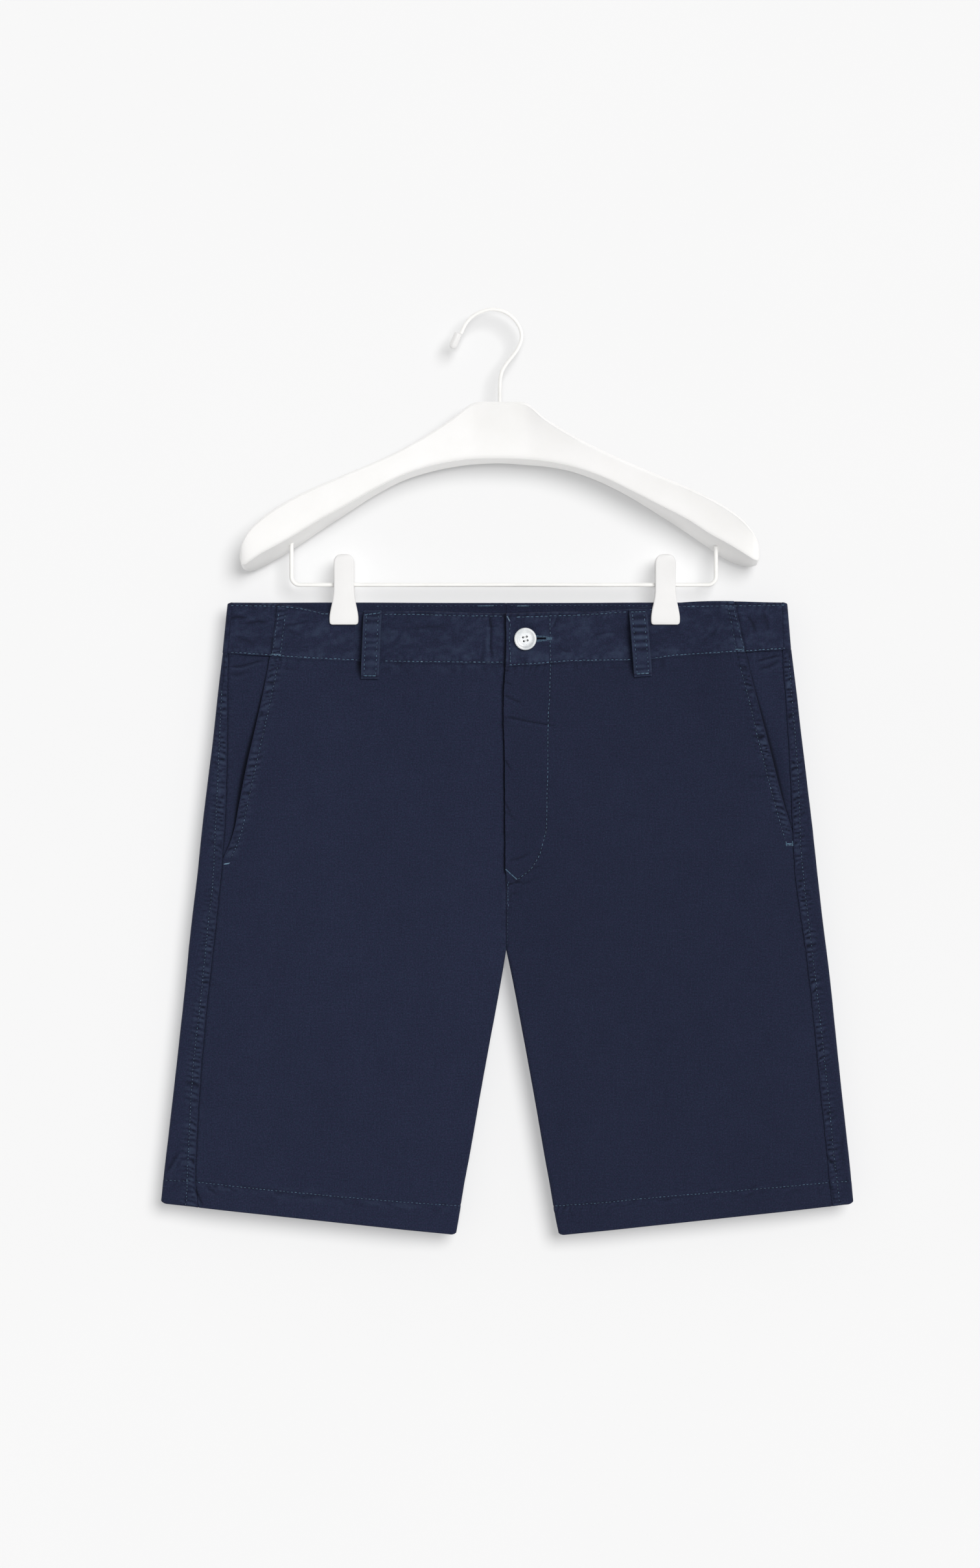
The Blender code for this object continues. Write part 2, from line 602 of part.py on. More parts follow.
def hanger_body(group, cutters):
    """A loft along X, then drilled for the hook and for both ends of the bar."""
    rings = []
    for x, top, front, back, depth in HANGER:
        r = min(HANGER_ROUND, (top - front) * 0.35, depth * 0.6)
        ring = []
        for y0, z0, start in ((-depth + r, front + r, 180.0), (depth - r, back + r, 270.0), (depth - r, top - r, 0.0), (-depth + r, top - r, 90.0)):
            for k in (0, 1, 2, 3):
                a = math.radians(start + 30.0 * k)
                ring.append(Vector((x, y0 + r * math.cos(a), z0 + r * math.sin(a))))
        rings.append(ring)
    made = loft("hanger_body", rings, (WHITE, 0.35), group, 50.0)
    for name, x, z, radius in (("hook", HOOK[0][0], HANGER[15][1], WIRE_R), ("bar_right", BAR_X[0], -196.0, BAR_R), ("bar_left", BAR_X[1], -202.0, BAR_R)):
        at = (x, 0.0, z + (SOCKET if name != "hook" else -SOCKET) - (5.0 if name != "hook" else -5.0))
        cut(made, round_cutter("socket_cutter_" + name, at, radius + SEAM + 0.05, 2 * SOCKET - 2.0, (0, 0, 0)), cutters)


def hanger_hook(group):
    path = [Vector((x, 0.0, z)) for x, z in HOOK]
    path[0].z = HANGER[15][1] - SOCKET + 3.0
    wire("hanger_hook", through(path, 2), WIRE_R, (WHITE, 0.35), group)
    (x0, z0), (x1, z1), r = TIP
    axis = Vector((x1 - x0, 0.0, z1 - z0))
    length, along = axis.length, axis.normalized()
    across = Vector((-along.z, 0.0, along.x))
    rows = ((0.0, r - 0.7), (0.3, r - 0.2), (0.9, r), (length * 0.5, r), (length, r), (length + 0.5 * r, 0.87 * r), (length + 0.8 * r, 0.6 * r), (length + 0.97 * r, 0.24 * r))
    rings = []
    for d, w in rows:
        centre = Vector((x0, 0.0, z0)) + along * d
        rings.append([centre + across * (w * math.cos(a)) + Vector((0, w * 0.72 * math.sin(a), 0)) for a in [2 * math.pi * k / 14 for k in range(14)]])
    loft("hook_tip", rings, (WHITE, 0.4), group)


def trouser_bar(group):
    right, left = BAR_X
    path = [Vector((right, 0, BAR_TOP_Z[0]))]
    for cx, start in ((right + BAR_BEND, 180.0), (left - BAR_BEND, 270.0)):
        for k in range(7):
            a = math.radians(start + 15.0 * k)
            path.append(Vector((cx + BAR_BEND * math.cos(a), 0, BAR_Z + BAR_BEND + BAR_BEND * math.sin(a))))
    path.append(Vector((left, 0, BAR_TOP_Z[1])))
    wire("trouser_bar", path, BAR_R, (WHITE, 0.35), group)


def clip(side, x, group, cutters):
    for face, way in (("front", 1.0), ("back", -1.0)):
        rings = []
        for z, half, y, thick in CLIP_JAW:
            r = min(0.9, thick * 0.45)
            ring = []
            for cx, cy, start in ((-half + r, -thick / 2 + r, 180.0), (half - r, -thick / 2 + r, 270.0), (half - r, thick / 2 - r, 0.0), (-half + r, thick / 2 - r, 90.0)):
                for k in (0, 1, 2):
                    a = math.radians(start + 45.0 * k)
                    ring.append(Vector((x + cx + r * math.cos(a), way * (y + cy + r * math.sin(a)), z)))
            rings.append(ring)
        loft("clip_%s_%s_jaw" % (side, face), rings, (WHITE, 0.4), group, 50.0)
    bpy.ops.mesh.primitive_cylinder_add(vertices=24, radius=BARREL_R * MM, depth=2 * BARREL_HALF * MM, location=Vector((x, 0.0, BAR_Z)) * MM, rotation=(0, math.pi / 2, 0))
    barrel = bpy.context.object
    for other in barrel.users_collection:
        other.objects.unlink(barrel)
    mesh = barrel.data
    mesh.transform(barrel.matrix_world)
    bpy.data.objects.remove(barrel)
    barrel = finish("clip_%s_barrel" % side, mesh, ((0.6, 0.6, 0.6, 1.0), 0.35), group)
    cut(barrel, round_cutter("barrel_cutter_" + side, (x, 0.0, BAR_Z), BAR_R + SEAM + 0.1, 20.0, (0, math.pi / 2, 0)), cutters)


def main():
    for old in list(bpy.data.objects):
        bpy.data.objects.remove(old, do_unlink=True)
    group = bpy.data.collections.new("bermuda_shorts_on_clip_hanger")
    cutters = bpy.data.collections.new("cutters")
    bpy.context.scene.collection.children.link(group)
    bpy.context.scene.collection.children.link(cutters)
    for side in LEGS:
        front_panel(side, group)
        back_panel(side, group)
        pocket_facing(side, group)
    fly_underlap(group)
    waistband(group, cutters)
    belt_loops(group)
    button(group, cutters)
    hanger_body(group, cutters)
    hanger_hook(group)
    trouser_bar(group)
    clip("right", CLIP_X[0], group, cutters)
    clip("left", CLIP_X[1], group, cutters)


main()
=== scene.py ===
"""Looks of the bermuda shorts that hang from the two clips of a clip hanger.

Lengths are millimetres until a mesh is made, when MM turns them into metres.
The front faces -Y, +X is the wearer's left, and every cloth piece is a thin
closed shell on the form of its CAD solid, with its seams, puckers, creases and
stitches as geometry. The weave and the colour are procedural.
"""

import json
import math

import bmesh
import bpy
import numpy as np
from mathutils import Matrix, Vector

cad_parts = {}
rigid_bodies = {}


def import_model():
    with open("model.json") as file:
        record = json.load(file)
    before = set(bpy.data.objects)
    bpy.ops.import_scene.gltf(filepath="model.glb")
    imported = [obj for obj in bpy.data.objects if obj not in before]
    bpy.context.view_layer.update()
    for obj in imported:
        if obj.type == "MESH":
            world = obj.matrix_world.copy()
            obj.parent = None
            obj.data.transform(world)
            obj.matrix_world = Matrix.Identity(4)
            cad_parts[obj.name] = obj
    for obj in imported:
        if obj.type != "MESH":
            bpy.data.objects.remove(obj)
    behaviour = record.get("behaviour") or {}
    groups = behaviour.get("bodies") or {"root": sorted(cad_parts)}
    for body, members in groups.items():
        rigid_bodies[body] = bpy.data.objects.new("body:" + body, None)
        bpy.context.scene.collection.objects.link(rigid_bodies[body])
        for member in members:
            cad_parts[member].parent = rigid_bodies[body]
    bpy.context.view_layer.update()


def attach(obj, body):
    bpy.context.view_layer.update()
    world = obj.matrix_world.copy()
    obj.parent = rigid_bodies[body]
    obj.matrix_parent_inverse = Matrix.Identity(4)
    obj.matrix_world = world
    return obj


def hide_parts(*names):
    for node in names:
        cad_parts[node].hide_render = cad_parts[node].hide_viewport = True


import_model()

MM = 0.001
scene = bpy.context.scene

# Camera -------------------------------------------------------------------

MM_PER_PIXEL = 0.54
PHOTO_SIZE = (1512, 2420)
PHOTO_ORIGIN = (756.0, 478.5)  # where the photo shows the origin
CAMERA_FAR = 3.6


def camera():
    data = bpy.data.cameras.new("camera")
    data.sensor_fit = "VERTICAL"
    data.sensor_height = 36.0
    data.lens = 36.0 * (CAMERA_FAR - 0.008) / (PHOTO_SIZE[1] * MM_PER_PIXEL * MM)
    data.clip_end = 60.0
    made = bpy.data.objects.new("camera", data)
    made.location = (0.0, -CAMERA_FAR, -(PHOTO_SIZE[1] / 2 - PHOTO_ORIGIN[1]) * MM_PER_PIXEL * MM)
    made.rotation_euler = (math.pi / 2, 0.0, 0.0)
    scene.collection.objects.link(made)
    scene.camera = made


camera()

# Sizes, the same as the CAD's -----------------------------------------------

CLOTH, BAND, LOOP, SEAM, FOLD, LAP, BAND_LAP = 1.2, 2.0, 1.6, 0.3, 2.6, 1.6, 2.4
CENTRE_X = 13.5
CROTCH, HEM_STITCH, HEM = 9, 16, 17
BACK_TOP_Z = -243.3
FLAP_X, UNDER_X, UNDERLAP_X, FLY_END_Z = 11.9, 15.7, 44.3, -466.3
FLAP_FALL = (46.0, 82.0)
PINCH, CLIP_X = 1.7, (-121.8, 146.3)
PINCH_FLAT, PINCH_REACH, PINCH_DROP = 16.0, 40.0, 60.0
SIDES = ("right", "left")
SIGN = {"right": -1.0, "left": 1.0}

COLUMNS = ("outer_z", "front_z", "back_z", "outer_x", "seam_x", "inner_x", "bulge")
LEG = {
    "right": np.array((
        (-285.9, -294.6, -284.3, -223.4, -218.6, 13.5, 8.6),
        (-305.9, -314.0, -306.5, -225.8, -219.0, 13.5, 8.6),
        (-325.9, -333.5, -326.4, -228.0, -219.2, 13.5, 8.4),
        (-362.1, -368.0, -362.6, -231.9, -219.4, 13.5, 8.2),
        (-393.9, -398.2, -394.5, -235.8, -220.0, 13.5, 8.0),
        (-425.8, -428.5, -426.3, -239.6, -221.2, 13.5, 7.7),
        (-465.2, -466.3, -465.2, -243.8, -224.0, 13.5, 7.2),
        (-495.5, -496.0, -495.5, -247.5, -227.0, 13.5, 6.8),
        (-514.9, -515.4, -514.9, -249.7, -229.0, 13.5, 6.6),
        (-532.2, -533.2, -533.2, -251.6, -231.0, 13.5, 6.5),
        (-551.6, -553.8, -553.8, -253.5, -233.2, 10.1, 6.4),
        (-572.7, -577.0, -577.0, -255.7, -235.6, 6.0, 6.3),
        (-607.2, -614.2, -614.2, -259.5, -239.0, -0.8, 6.2),
        (-648.3, -658.5, -658.5, -263.9, -242.2, -8.7, 6.1),
        (-688.8, -703.9, -703.9, -268.6, -244.6, -16.6, 6.0),
        (-708.2, -726.0, -726.0, -270.9, -245.4, -20.8, 6.0),
        (-725.5, -746.6, -746.6, -272.8, -245.6, -24.2, 6.0),
        (-744.7, -771.1, -771.1, -274.5, -243.5, -28.1, 6.0),
    )),
    "left": np.array((
        (-282.7, -296.9, -284.3, 251.4, 244.2, 13.5, 8.6),
        (-303.2, -316.1, -303.8, 253.9, 245.0, 13.5, 8.6),
        (-323.7, -335.0, -324.3, 256.4, 246.8, 13.5, 8.4),
        (-360.5, -368.6, -361.0, 260.7, 249.3, 13.5, 8.2),
        (-392.9, -398.8, -393.4, 264.5, 250.9, 13.5, 8.0),
        (-425.2, -429.0, -425.8, 268.3, 252.2, 13.5, 7.7),
        (-464.7, -466.3, -465.2, 272.5, 254.2, 13.5, 7.2),
        (-495.5, -496.0, -495.5, 276.0, 257.7, 13.5, 6.8),
        (-514.9, -515.4, -514.9, 278.4, 260.7, 13.5, 6.6),
        (-532.2, -533.2, -533.2, 280.8, 263.3, 13.5, 6.5),
        (-551.6, -553.8, -553.8, 283.3, 265.7, 17.9, 6.4),
        (-572.7, -577.0, -577.0, 285.7, 268.1, 22.4, 6.3),
        (-607.2, -614.2, -614.2, 289.2, 271.7, 29.3, 6.2),
        (-648.3, -658.5, -658.5, 293.4, 275.4, 37.2, 6.1),
        (-688.8, -703.9, -703.9, 297.7, 279.8, 45.2, 6.0),
        (-708.2, -726.0, -726.0, 299.9, 281.8, 49.2, 6.0),
        (-726.0, -747.1, -747.1, 301.6, 283.4, 52.8, 6.0),
        (-745.2, -771.4, -771.4, 303.2, 285.9, 57.5, 6.0),
    )),
}
WAIST_SEAM = {
    "right": ((-224.0, -285.9), (-188.5, -288.1), (-156.6, -290.4), (-92.3, -293.3), (-21.6, -294.6), (46.0, -295.0)),
    "left": ((11.0, -297.3), (43.2, -295.4), (64.0, -293.6), (113.4, -292.3), (134.5, -291.0), (157.1, -288.4), (179.8, -287.0), (219.8, -284.6), (252.0, -282.7)),
}
FRONT_TOP = {
    "right": ((-220.0, -243.3), (-177.1, -244.7), (-162.6, -246.7), (-147.2, -249.8), (-135.0, -251.6), (-109.1, -251.6), (-62.6, -250.9), (-11.3, -252.5), (46.0, -253.0)),
    "left": ((11.0, -253.0), (40.0, -252.2), (64.3, -251.6), (88.6, -251.4), (111.8, -249.2), (134.5, -246.5), (157.1, -243.7), (249.0, -243.3)),
}
POCKET_EDGE = {
    "right": ((-243.0, -177.0), (-290.8, -183.6), (-346.4, -194.6), (-378.3, -201.7), (-414.5, -209.0), (-433.4, -212.9), (-446.3, -217.4), (-458.2, -222.9)),
    "left": ((-243.0, 203.5), (-281.6, 212.0), (-324.3, 222.1), (-363.7, 232.0), (-389.1, 238.3), (-411.2, 244.4), (-431.7, 251.0), (-440.0, 252.9)),
}
POCKET_END_Z = {"right": -457.0, "left": -439.0}
BAND_END_X = {"right": (-214.6, -218.4), "left": (243.4, 244.2)}
BAND_FOLD_X = {"right": (-219.2, -223.4), "left": (248.3, 251.4)}
BAND_POCKET_X = {"right": (-182.6, -177.2), "left": (212.8, 203.9)}  # pocket seam in the waistband: bottom, top
FACING_TUCK = 12.0
LOOP_WIDTH, LOOP_BOW, LOOP_EASE = 15.0, 5.2, 0.6
LOOPS = {
    "belt_loop_front_right": (-97.8, -100.2, -250.4, -307.4, "front"),
    "belt_loop_front_left": (123.2, 127.6, -249.2, -305.4, "front"),
    "belt_loop_back_right": (-98.0, -98.0, -243.8, -298.0, "back"),
    "belt_loop_back_left": (122.5, 122.5, -243.8, -298.0, "back"),
    "belt_loop_back_centre": (13.5, 13.5, -243.8, -298.0, "back"),
}
BUTTON_AT, BUTTON_R, BUTTON_T = (29.4, -274.3), 9.3, 3.0
BUTTON_HOLE_R, BUTTON_HOLE_AT, BUTTON_TURN = 0.85, 2.25, 12.0
BUTTONHOLE = (31.0, 51.0, 0.9)
HANGER = (
    (-208.7, -202.4, -207.6, -208.4, 4.0), (-207.6, -197.4, -211.0, -212.6, 8.0), (-204.9, -190.8, -212.4, -216.0, 11.5),
    (-199.8, -182.9, -209.6, -216.9, 14.0), (-192.2, -175.6, -204.4, -213.8, 15.0), (-178.7, -165.4, -197.2, -206.6, 15.0),
    (-162.5, -155.9, -188.0, -196.8, 14.6), (-143.6, -146.8, -176.4, -184.0, 14.0), (-122.0, -137.6, -164.4, -170.0, 13.2),
    (-97.7, -127.4, -150.5, -154.3, 12.2), (-73.4, -116.0, -138.2, -141.6, 11.2), (-49.1, -101.8, -130.0, -133.7, 10.2),
    (-30.2, -89.0, -126.2, -129.8, 9.4), (-12.6, -76.9, -124.2, -127.6, 9.0), (-9.4, -76.4, -124.1, -127.4, 9.0),
    (9.0, -76.4, -123.9, -126.8, 9.0), (26.0, -76.4, -124.4, -127.8, 9.0), (29.2, -77.0, -124.6, -128.1, 9.0),
    (45.4, -89.6, -126.1, -129.4, 9.4), (67.0, -103.2, -130.4, -133.3, 10.2), (91.3, -115.8, -138.3, -141.9, 11.2),
    (115.6, -127.0, -149.9, -154.0, 12.2), (139.9, -137.4, -162.4, -168.8, 13.2), (164.2, -147.8, -175.0, -184.4, 14.0),
    (183.1, -156.8, -187.2, -197.4, 14.6), (196.6, -164.6, -194.6, -206.4, 15.0), (207.4, -172.4, -201.0, -211.2, 15.0),
    (215.5, -180.5, -206.0, -213.0, 14.0), (220.9, -188.2, -208.6, -212.4, 11.5), (223.8, -194.6, -207.8, -210.0, 8.0),
    (224.9, -199.6, -204.6, -205.6, 4.0),
)
HANGER_ROUND = 3.0
WIRE_R = 1.5
HOOK = (
    (7.9, -80.0), (8.0, -70.0), (8.4, -59.0), (9.7, -51.2), (13.2, -44.8), (18.0, -38.6), (22.6, -32.3), (25.4, -26.2),
    (26.3, -20.6), (25.2, -14.8), (22.2, -9.2), (17.9, -4.6), (12.6, -1.0), (6.6, 1.0), (0.2, 1.5), (-6.0, 0.0),
    (-11.8, -2.6), (-16.8, -6.4), (-20.8, -11.4), (-23.4, -16.8), (-24.3, -18.95),
)
TIP = ((-26.5, -18.5), (-30.6, -28.3), 3.2)
BAR_R, BAR_Z, BAR_X, BAR_BEND = 1.75, -228.7, (-165.8, 188.7), 7.0
BAR_TOP_Z = (-190.6, -196.6)
CLIP_JAW = (
    (-203.3, 2.4, -6.7, 1.2), (-204.0, 4.9, -6.7, 1.9), (-205.6, 6.8, -6.7, 2.4), (-208.2, 8.1, -6.6, 2.5),
    (-211.8, 8.5, -6.4, 2.5), (-220.0, 8.5, -5.9, 2.5), (-228.7, 8.5, -5.5, 2.5), (-236.0, 8.7, -5.4, 2.5),
    (-243.0, 9.7, -5.1, 2.6), (-249.0, 11.0, -4.7, 2.8), (-255.0, 12.0, -4.5, 2.9), (-259.6, 12.0, -4.4, 2.7),
    (-261.3, 11.4, -4.4, 2.2), (-262.0, 10.2, -4.4, 1.4),
)
BARREL_R, BARREL_HALF = 3.6, 6.0

# What only the looks have ---------------------------------------------------

PANEL = 0.8  # one layer of cloth, its outside where the CAD wall's is
HEM_TURN = 22.0
TURN_GAP = 0.5  # radius of a turned edge, at mid cloth
PITCH = 3.7  # a stitch and the gap after it

# Topstitch lines: (x, z)
SIDE_STITCH = {
    "right": ((-223.6, -316.2), (-225.5, -354.5), (-227.1, -393.9), (-229.0, -433.4), (-231.0, -474.9), (-234.4, -505.7), (-238.0, -542.4), (-242.7, -587.2), (-246.3, -617.5), (-249.1, -654.2), (-251.9, -709.0), (-253.2, -743.6)),
    "left": ((249.6, -290.8), (251.8, -322.7), (254.6, -354.5), (256.8, -385.8), (258.2, -417.7), (259.4, -449.6), (261.6, -473.3), (265.2, -505.7), (270.2, -546.5), (274.9, -587.2), (278.9, -623.7), (282.6, -658.3), (286.2, -699.0), (289.3, -725.5), (291.6, -743.6)),
}
HEM_STITCHES = {
    "right": ((-271.8, -725.5), (-243.5, -727.1), (-212.8, -730.4), (-182.5, -733.6), (-105.8, -740.7), (-64.5, -744.1), (-43.7, -745.7), (-24.3, -747.1)),
    "left": ((53.5, -747.1), (86.7, -744.7), (117.7, -741.7), (148.5, -738.7), (179.8, -736.2), (243.0, -730.9), (283.0, -727.5), (302.2, -726.3)),
}
POCKET_STITCH = {
    "right": ((-174.4, -286.2), (-177.1, -297.0), (-183.6, -329.1), (-188.2, -349.7), (-195.0, -379.7), (-202.6, -414.5), (-208.0, -438.2), (-215.5, -455.8)),
    "left": ((205.0, -281.6), (208.6, -297.0), (216.0, -325.9), (222.6, -354.5), (229.5, -381.5), (237.4, -411.2), (244.2, -435.0), (247.1, -444.7)),
}
BAND_SIDE_STITCH = {"right": ((-170.6, -251.4), (-174.6, -286.4)), "left": ((198.7, -245.4), (205.2, -283.0))}
TOP_STITCH = {
    "right": ((-216.5, -246.2), (-178.7, -246.7), (-162.5, -248.2), (-152.3, -250.0), (-142.0, -252.0), (-135.0, -253.0), (-73.4, -253.6), (-32.1, -254.6), (10.3, -255.2)),
    "left": ((21.6, -256.2), (49.7, -255.2), (77.8, -254.1), (94.8, -252.7), (111.8, -251.4), (134.0, -249.4), (162.0, -246.9), (214.2, -246.4), (246.0, -245.6)),
}
WAIST_STITCH = {
    "right": ((-216.8, -284.9), (-188.5, -286.9), (-156.6, -289.2), (-92.3, -292.1), (-21.6, -293.3), (11.3, -293.6)),
    "left": ((15.4, -295.9), (43.2, -294.2), (64.0, -292.4), (113.4, -291.1), (134.5, -289.8), (157.1, -287.2), (179.8, -285.8), (219.8, -283.4), (247.1, -281.6)),
}
FLY_STITCH = ((50.5, -294.5), (49.5, -324.8), (48.6, -335.1), (48.1, -361.0), (48.2, -378.3), (47.5, -402.0), (47.3, -421.7), (46.9, -432.8), (44.6, -442.5), (42.0, -451.7), (38.5, -459.3), (34.0, -465.8), (28.6, -470.6), (24.8, -473.3), (22.5, -474.7))
FLY_TACK = ((12.9, -466.0), (22.5, -474.7))
CROTCH_STITCH = ((15.1, -475.5), (14.7, -497.6), (14.4, -530.0))

# Creases listed one by one: points (x, z), half width, depth, and how uneven the two flanks are
CREASES_FRONT = (
    (((-219, -257.5), (-211, -255.6), (-201, -256.4)), 1.4, 0.62, 0.6),
    (((-206, -261.4), (-193, -259.2), (-183, -260.2)), 1.7, 0.70, -0.5),
    (((-213, -271.0), (-203, -275.0), (-195, -281.5)), 2.0, 0.46, 0.5),
    (((-172, -262.8), (-162, -261.8), (-153, -259.4), (-145, -259.8)), 1.3, 0.70, 0.7),
    (((-168, -267.4), (-156, -270.8)), 1.6, 0.44, 0.5),
    (((-219, -297.4), (-207, -296.6), (-197, -293.8), (-186, -290.6)), 1.0, 0.72, 0.8),
    (((-218, -303.8), (-209, -303.2), (-200, -300.2)), 1.6, 0.42, 0.6),
    (((-174, -297.6), (-166, -299.6), (-158, -298.6)), 1.3, 0.30, 0.5),
    (((-1.5, -253.0), (1.0, -265.0), (0.4, -280.0), (2.6, -295.0)), 1.4, 0.85, 0.7),
    (((-8.0, -294.0), (-5.0, -281.0), (-6.0, -270.0)), 1.3, 0.42, -0.6),
    (((3.0, -297.0), (4.6, -304.0), (3.4, -312.0)), 1.1, 0.30, 0.6),
    (((-6.0, -262.0), (1.0, -264.0), (9.0, -262.5)), 1.2, 0.26, 0.5),
    (((-68.0, -266.0), (-52.0, -263.6), (-36.0, -264.4)), 1.6, 0.42, 0.5),
    (((58.4, -250.6), (55.4, -257.6), (51.6, -267.0)), 0.9, 0.62, 0.8),
    (((84.0, -271.6), (97.0, -268.4), (110.0, -267.8)), 1.0, 0.46, 0.6),
    (((55.0, -279.0), (61.0, -284.0), (70.0, -285.0)), 1.2, 0.40, 0.6),
    (((-88.0, -281.0), (-78.0, -276.0), (-71.0, -266.0)), 1.6, 0.46, 0.6),
    (((132.0, -262.6), (141.0, -258.0), (149.0, -259.0)), 1.3, 0.46, 0.6),
    (((175.0, -277.0), (186.0, -270.0), (193.0, -260.0)), 1.5, 0.50, 0.6),
    (((-216, -330.0), (-209, -334.5), (-202, -336.0)), 3.0, 0.22, 0.3),
    (((-214, -398.0), (-217, -380.0), (-216, -362.0)), 2.6, 0.20, 0.4),
    (((-132, -296.5), (-118, -301.0), (-108, -299.8)), 2.2, 0.22, 0.4),
    (((-86, -303.0), (-88, -297.0)), 1.6, 0.24, 0.4),
    (((213, -253.0), (219, -261.0), (222, -271.0)), 1.5, 0.62, 0.6),
    (((226, -250.0), (231, -258.0), (232, -268.0)), 1.6, 0.50, -0.6),
    (((221, -293.0), (231, -290.2), (245, -286.6)), 1.0, 0.66, 0.8),
    (((223, -298.8), (232, -297.2), (243, -291.0)), 1.4, 0.48, 0.7),
    (((213, -389.0), (222, -388.2), (231, -389.8)), 1.3, 0.26, 0.5),
    (((216, -399.0), (225, -398.0)), 1.6, 0.18, 0.5),
    (((246, -431.0), (240, -425.0), (233, -423.5)), 1.6, 0.22, 0.5),
    (((110, -310.0), (101, -306.0), (92, -306.5)), 2.2, 0.22, 0.5),
    (((139, -297.0), (150, -301.0), (160, -299.5)), 2.0, 0.20, 0.5),
    (((9.6, -338.2), (30, -342.4), (48.4, -345.8), (61, -348.0)), 0.95, 0.66, 0.8),
    (((10.6, -320.0), (20, -325.0), (28, -328.0)), 1.1, 0.56, 0.7),
    (((11.6, -299.6), (16.0, -301.2), (21.0, -300.4)), 0.7, 0.6, 0.7),
    (((11.0, -309.6), (15.0, -311.0), (19.0, -313.4)), 0.8, 0.5, 0.7),
    (((12.0, -374.4), (18.2, -384.6)), 0.8, 0.62, 0.7),
    (((12.0, -410.0), (17.8, -420.4)), 0.8, 0.58, 0.7),
    (((13.0, -417.6), (22.4, -426.6)), 0.9, 0.42, 0.7),
    (((14.0, -459.0), (24, -457.0), (36, -451.0)), 1.3, 0.36, 0.6),
    (((22, -475.6), (29, -470.4), (37, -464.6), (46, -461.0)), 1.0, 0.28, 0.6),
    (((22, -477.0), (32, -476.6), (44, -471.0)), 1.3, 0.22, 0.5),
    (((13.6, -481.6), (16, -478.6), (20.5, -477.4), (27, -475.6)), 0.7, 0.8, 0.5),
    (((16.2, -489.0), (19.5, -486.2), (24.0, -486.6)), 0.8, 0.42, 0.6),
    (((16.4, -471.6), (21.0, -475.6), (27.0, -478.0), (33.0, -477.4)), 0.8, 0.46, 0.6),
    (((14.4, -491.0), (19, -494.0), (25, -494.0)), 1.2, 0.34, 0.6),
    (((15, -497.0), (20, -500.8)), 0.9, 0.24, 0.6),
    (((13, -522.0), (30, -524.0), (52, -533.0)), 4.5, 0.42, 0.4),
    (((13, -524.0), (-8, -527.0), (-30, -537.0)), 4.8, 0.46, 0.4),
    (((12, -505.0), (-6, -504.0), (-24, -508.0)), 4.0, 0.28, 0.4),
    (((-270, -719.0), (-264, -709.0), (-258.5, -700.0)), 1.5, 0.55, 0.8),
    (((-262, -716.0), (-258, -708.0)), 1.2, 0.30, 0.6),
    (((-247, -731.0), (-243.0, -739.0), (-239, -748.0)), 1.1, 0.60, 0.8),
    (((-238, -729.0), (-232, -734.0), (-225, -738.0)), 1.2, 0.36, 0.6),
    (((-252, -738.0), (-256, -745.5)), 1.2, 0.30, 0.6),
    (((-38.5, -742.5), (-35.5, -758.0)), 1.1, 0.30, 0.6),
    (((-45, -746.0), (-41.5, -757.0)), 1.0, 0.24, 0.6),
    (((66, -747.0), (69, -758.0)), 1.0, 0.24, 0.6),
    (((280, -704.0), (286, -712.5), (290, -721.5)), 1.3, 0.55, 0.8),
    (((295.5, -680.0), (292.5, -700.0), (295, -717.0)), 1.9, 0.36, 0.6),
    (((283, -727.0), (287.5, -745.0)), 1.1, 0.46, 0.7),
    (((273, -731.0), (275, -740.0)), 1.1, 0.24, 0.6),
    (((-238, -560.0), (-229, -563.0), (-220, -562.0)), 1.6, 0.18, 0.5),
    (((262, -522.0), (254, -524.5)), 1.4, 0.22, 0.5),
    (((-120, -470.0), (-95, -488.0), (-60, -498.0)), 9.0, 0.45, 0.3),
    (((170, -455.0), (140, -480.0), (95, -494.0)), 9.5, 0.42, 0.3),
    (((-190, -560.0), (-182, -620.0), (-186, -690.0)), 10.0, 0.42, 0.3),
    (((-105, -585.0), (-98, -650.0), (-104, -715.0)), 12.0, 0.50, -0.3),
    (((222, -540.0), (226, -610.0), (222, -690.0)), 10.0, 0.40, 0.3),
    (((130, -575.0), (138, -650.0), (134, -712.0)), 12.0, 0.48, -0.3),
    (((-60, -330.0), (-72, -380.0), (-66, -430.0)), 12.0, 0.40, 0.3),
    (((110, -330.0), (120, -385.0), (112, -440.0)), 12.0, 0.38, 0.3),
)
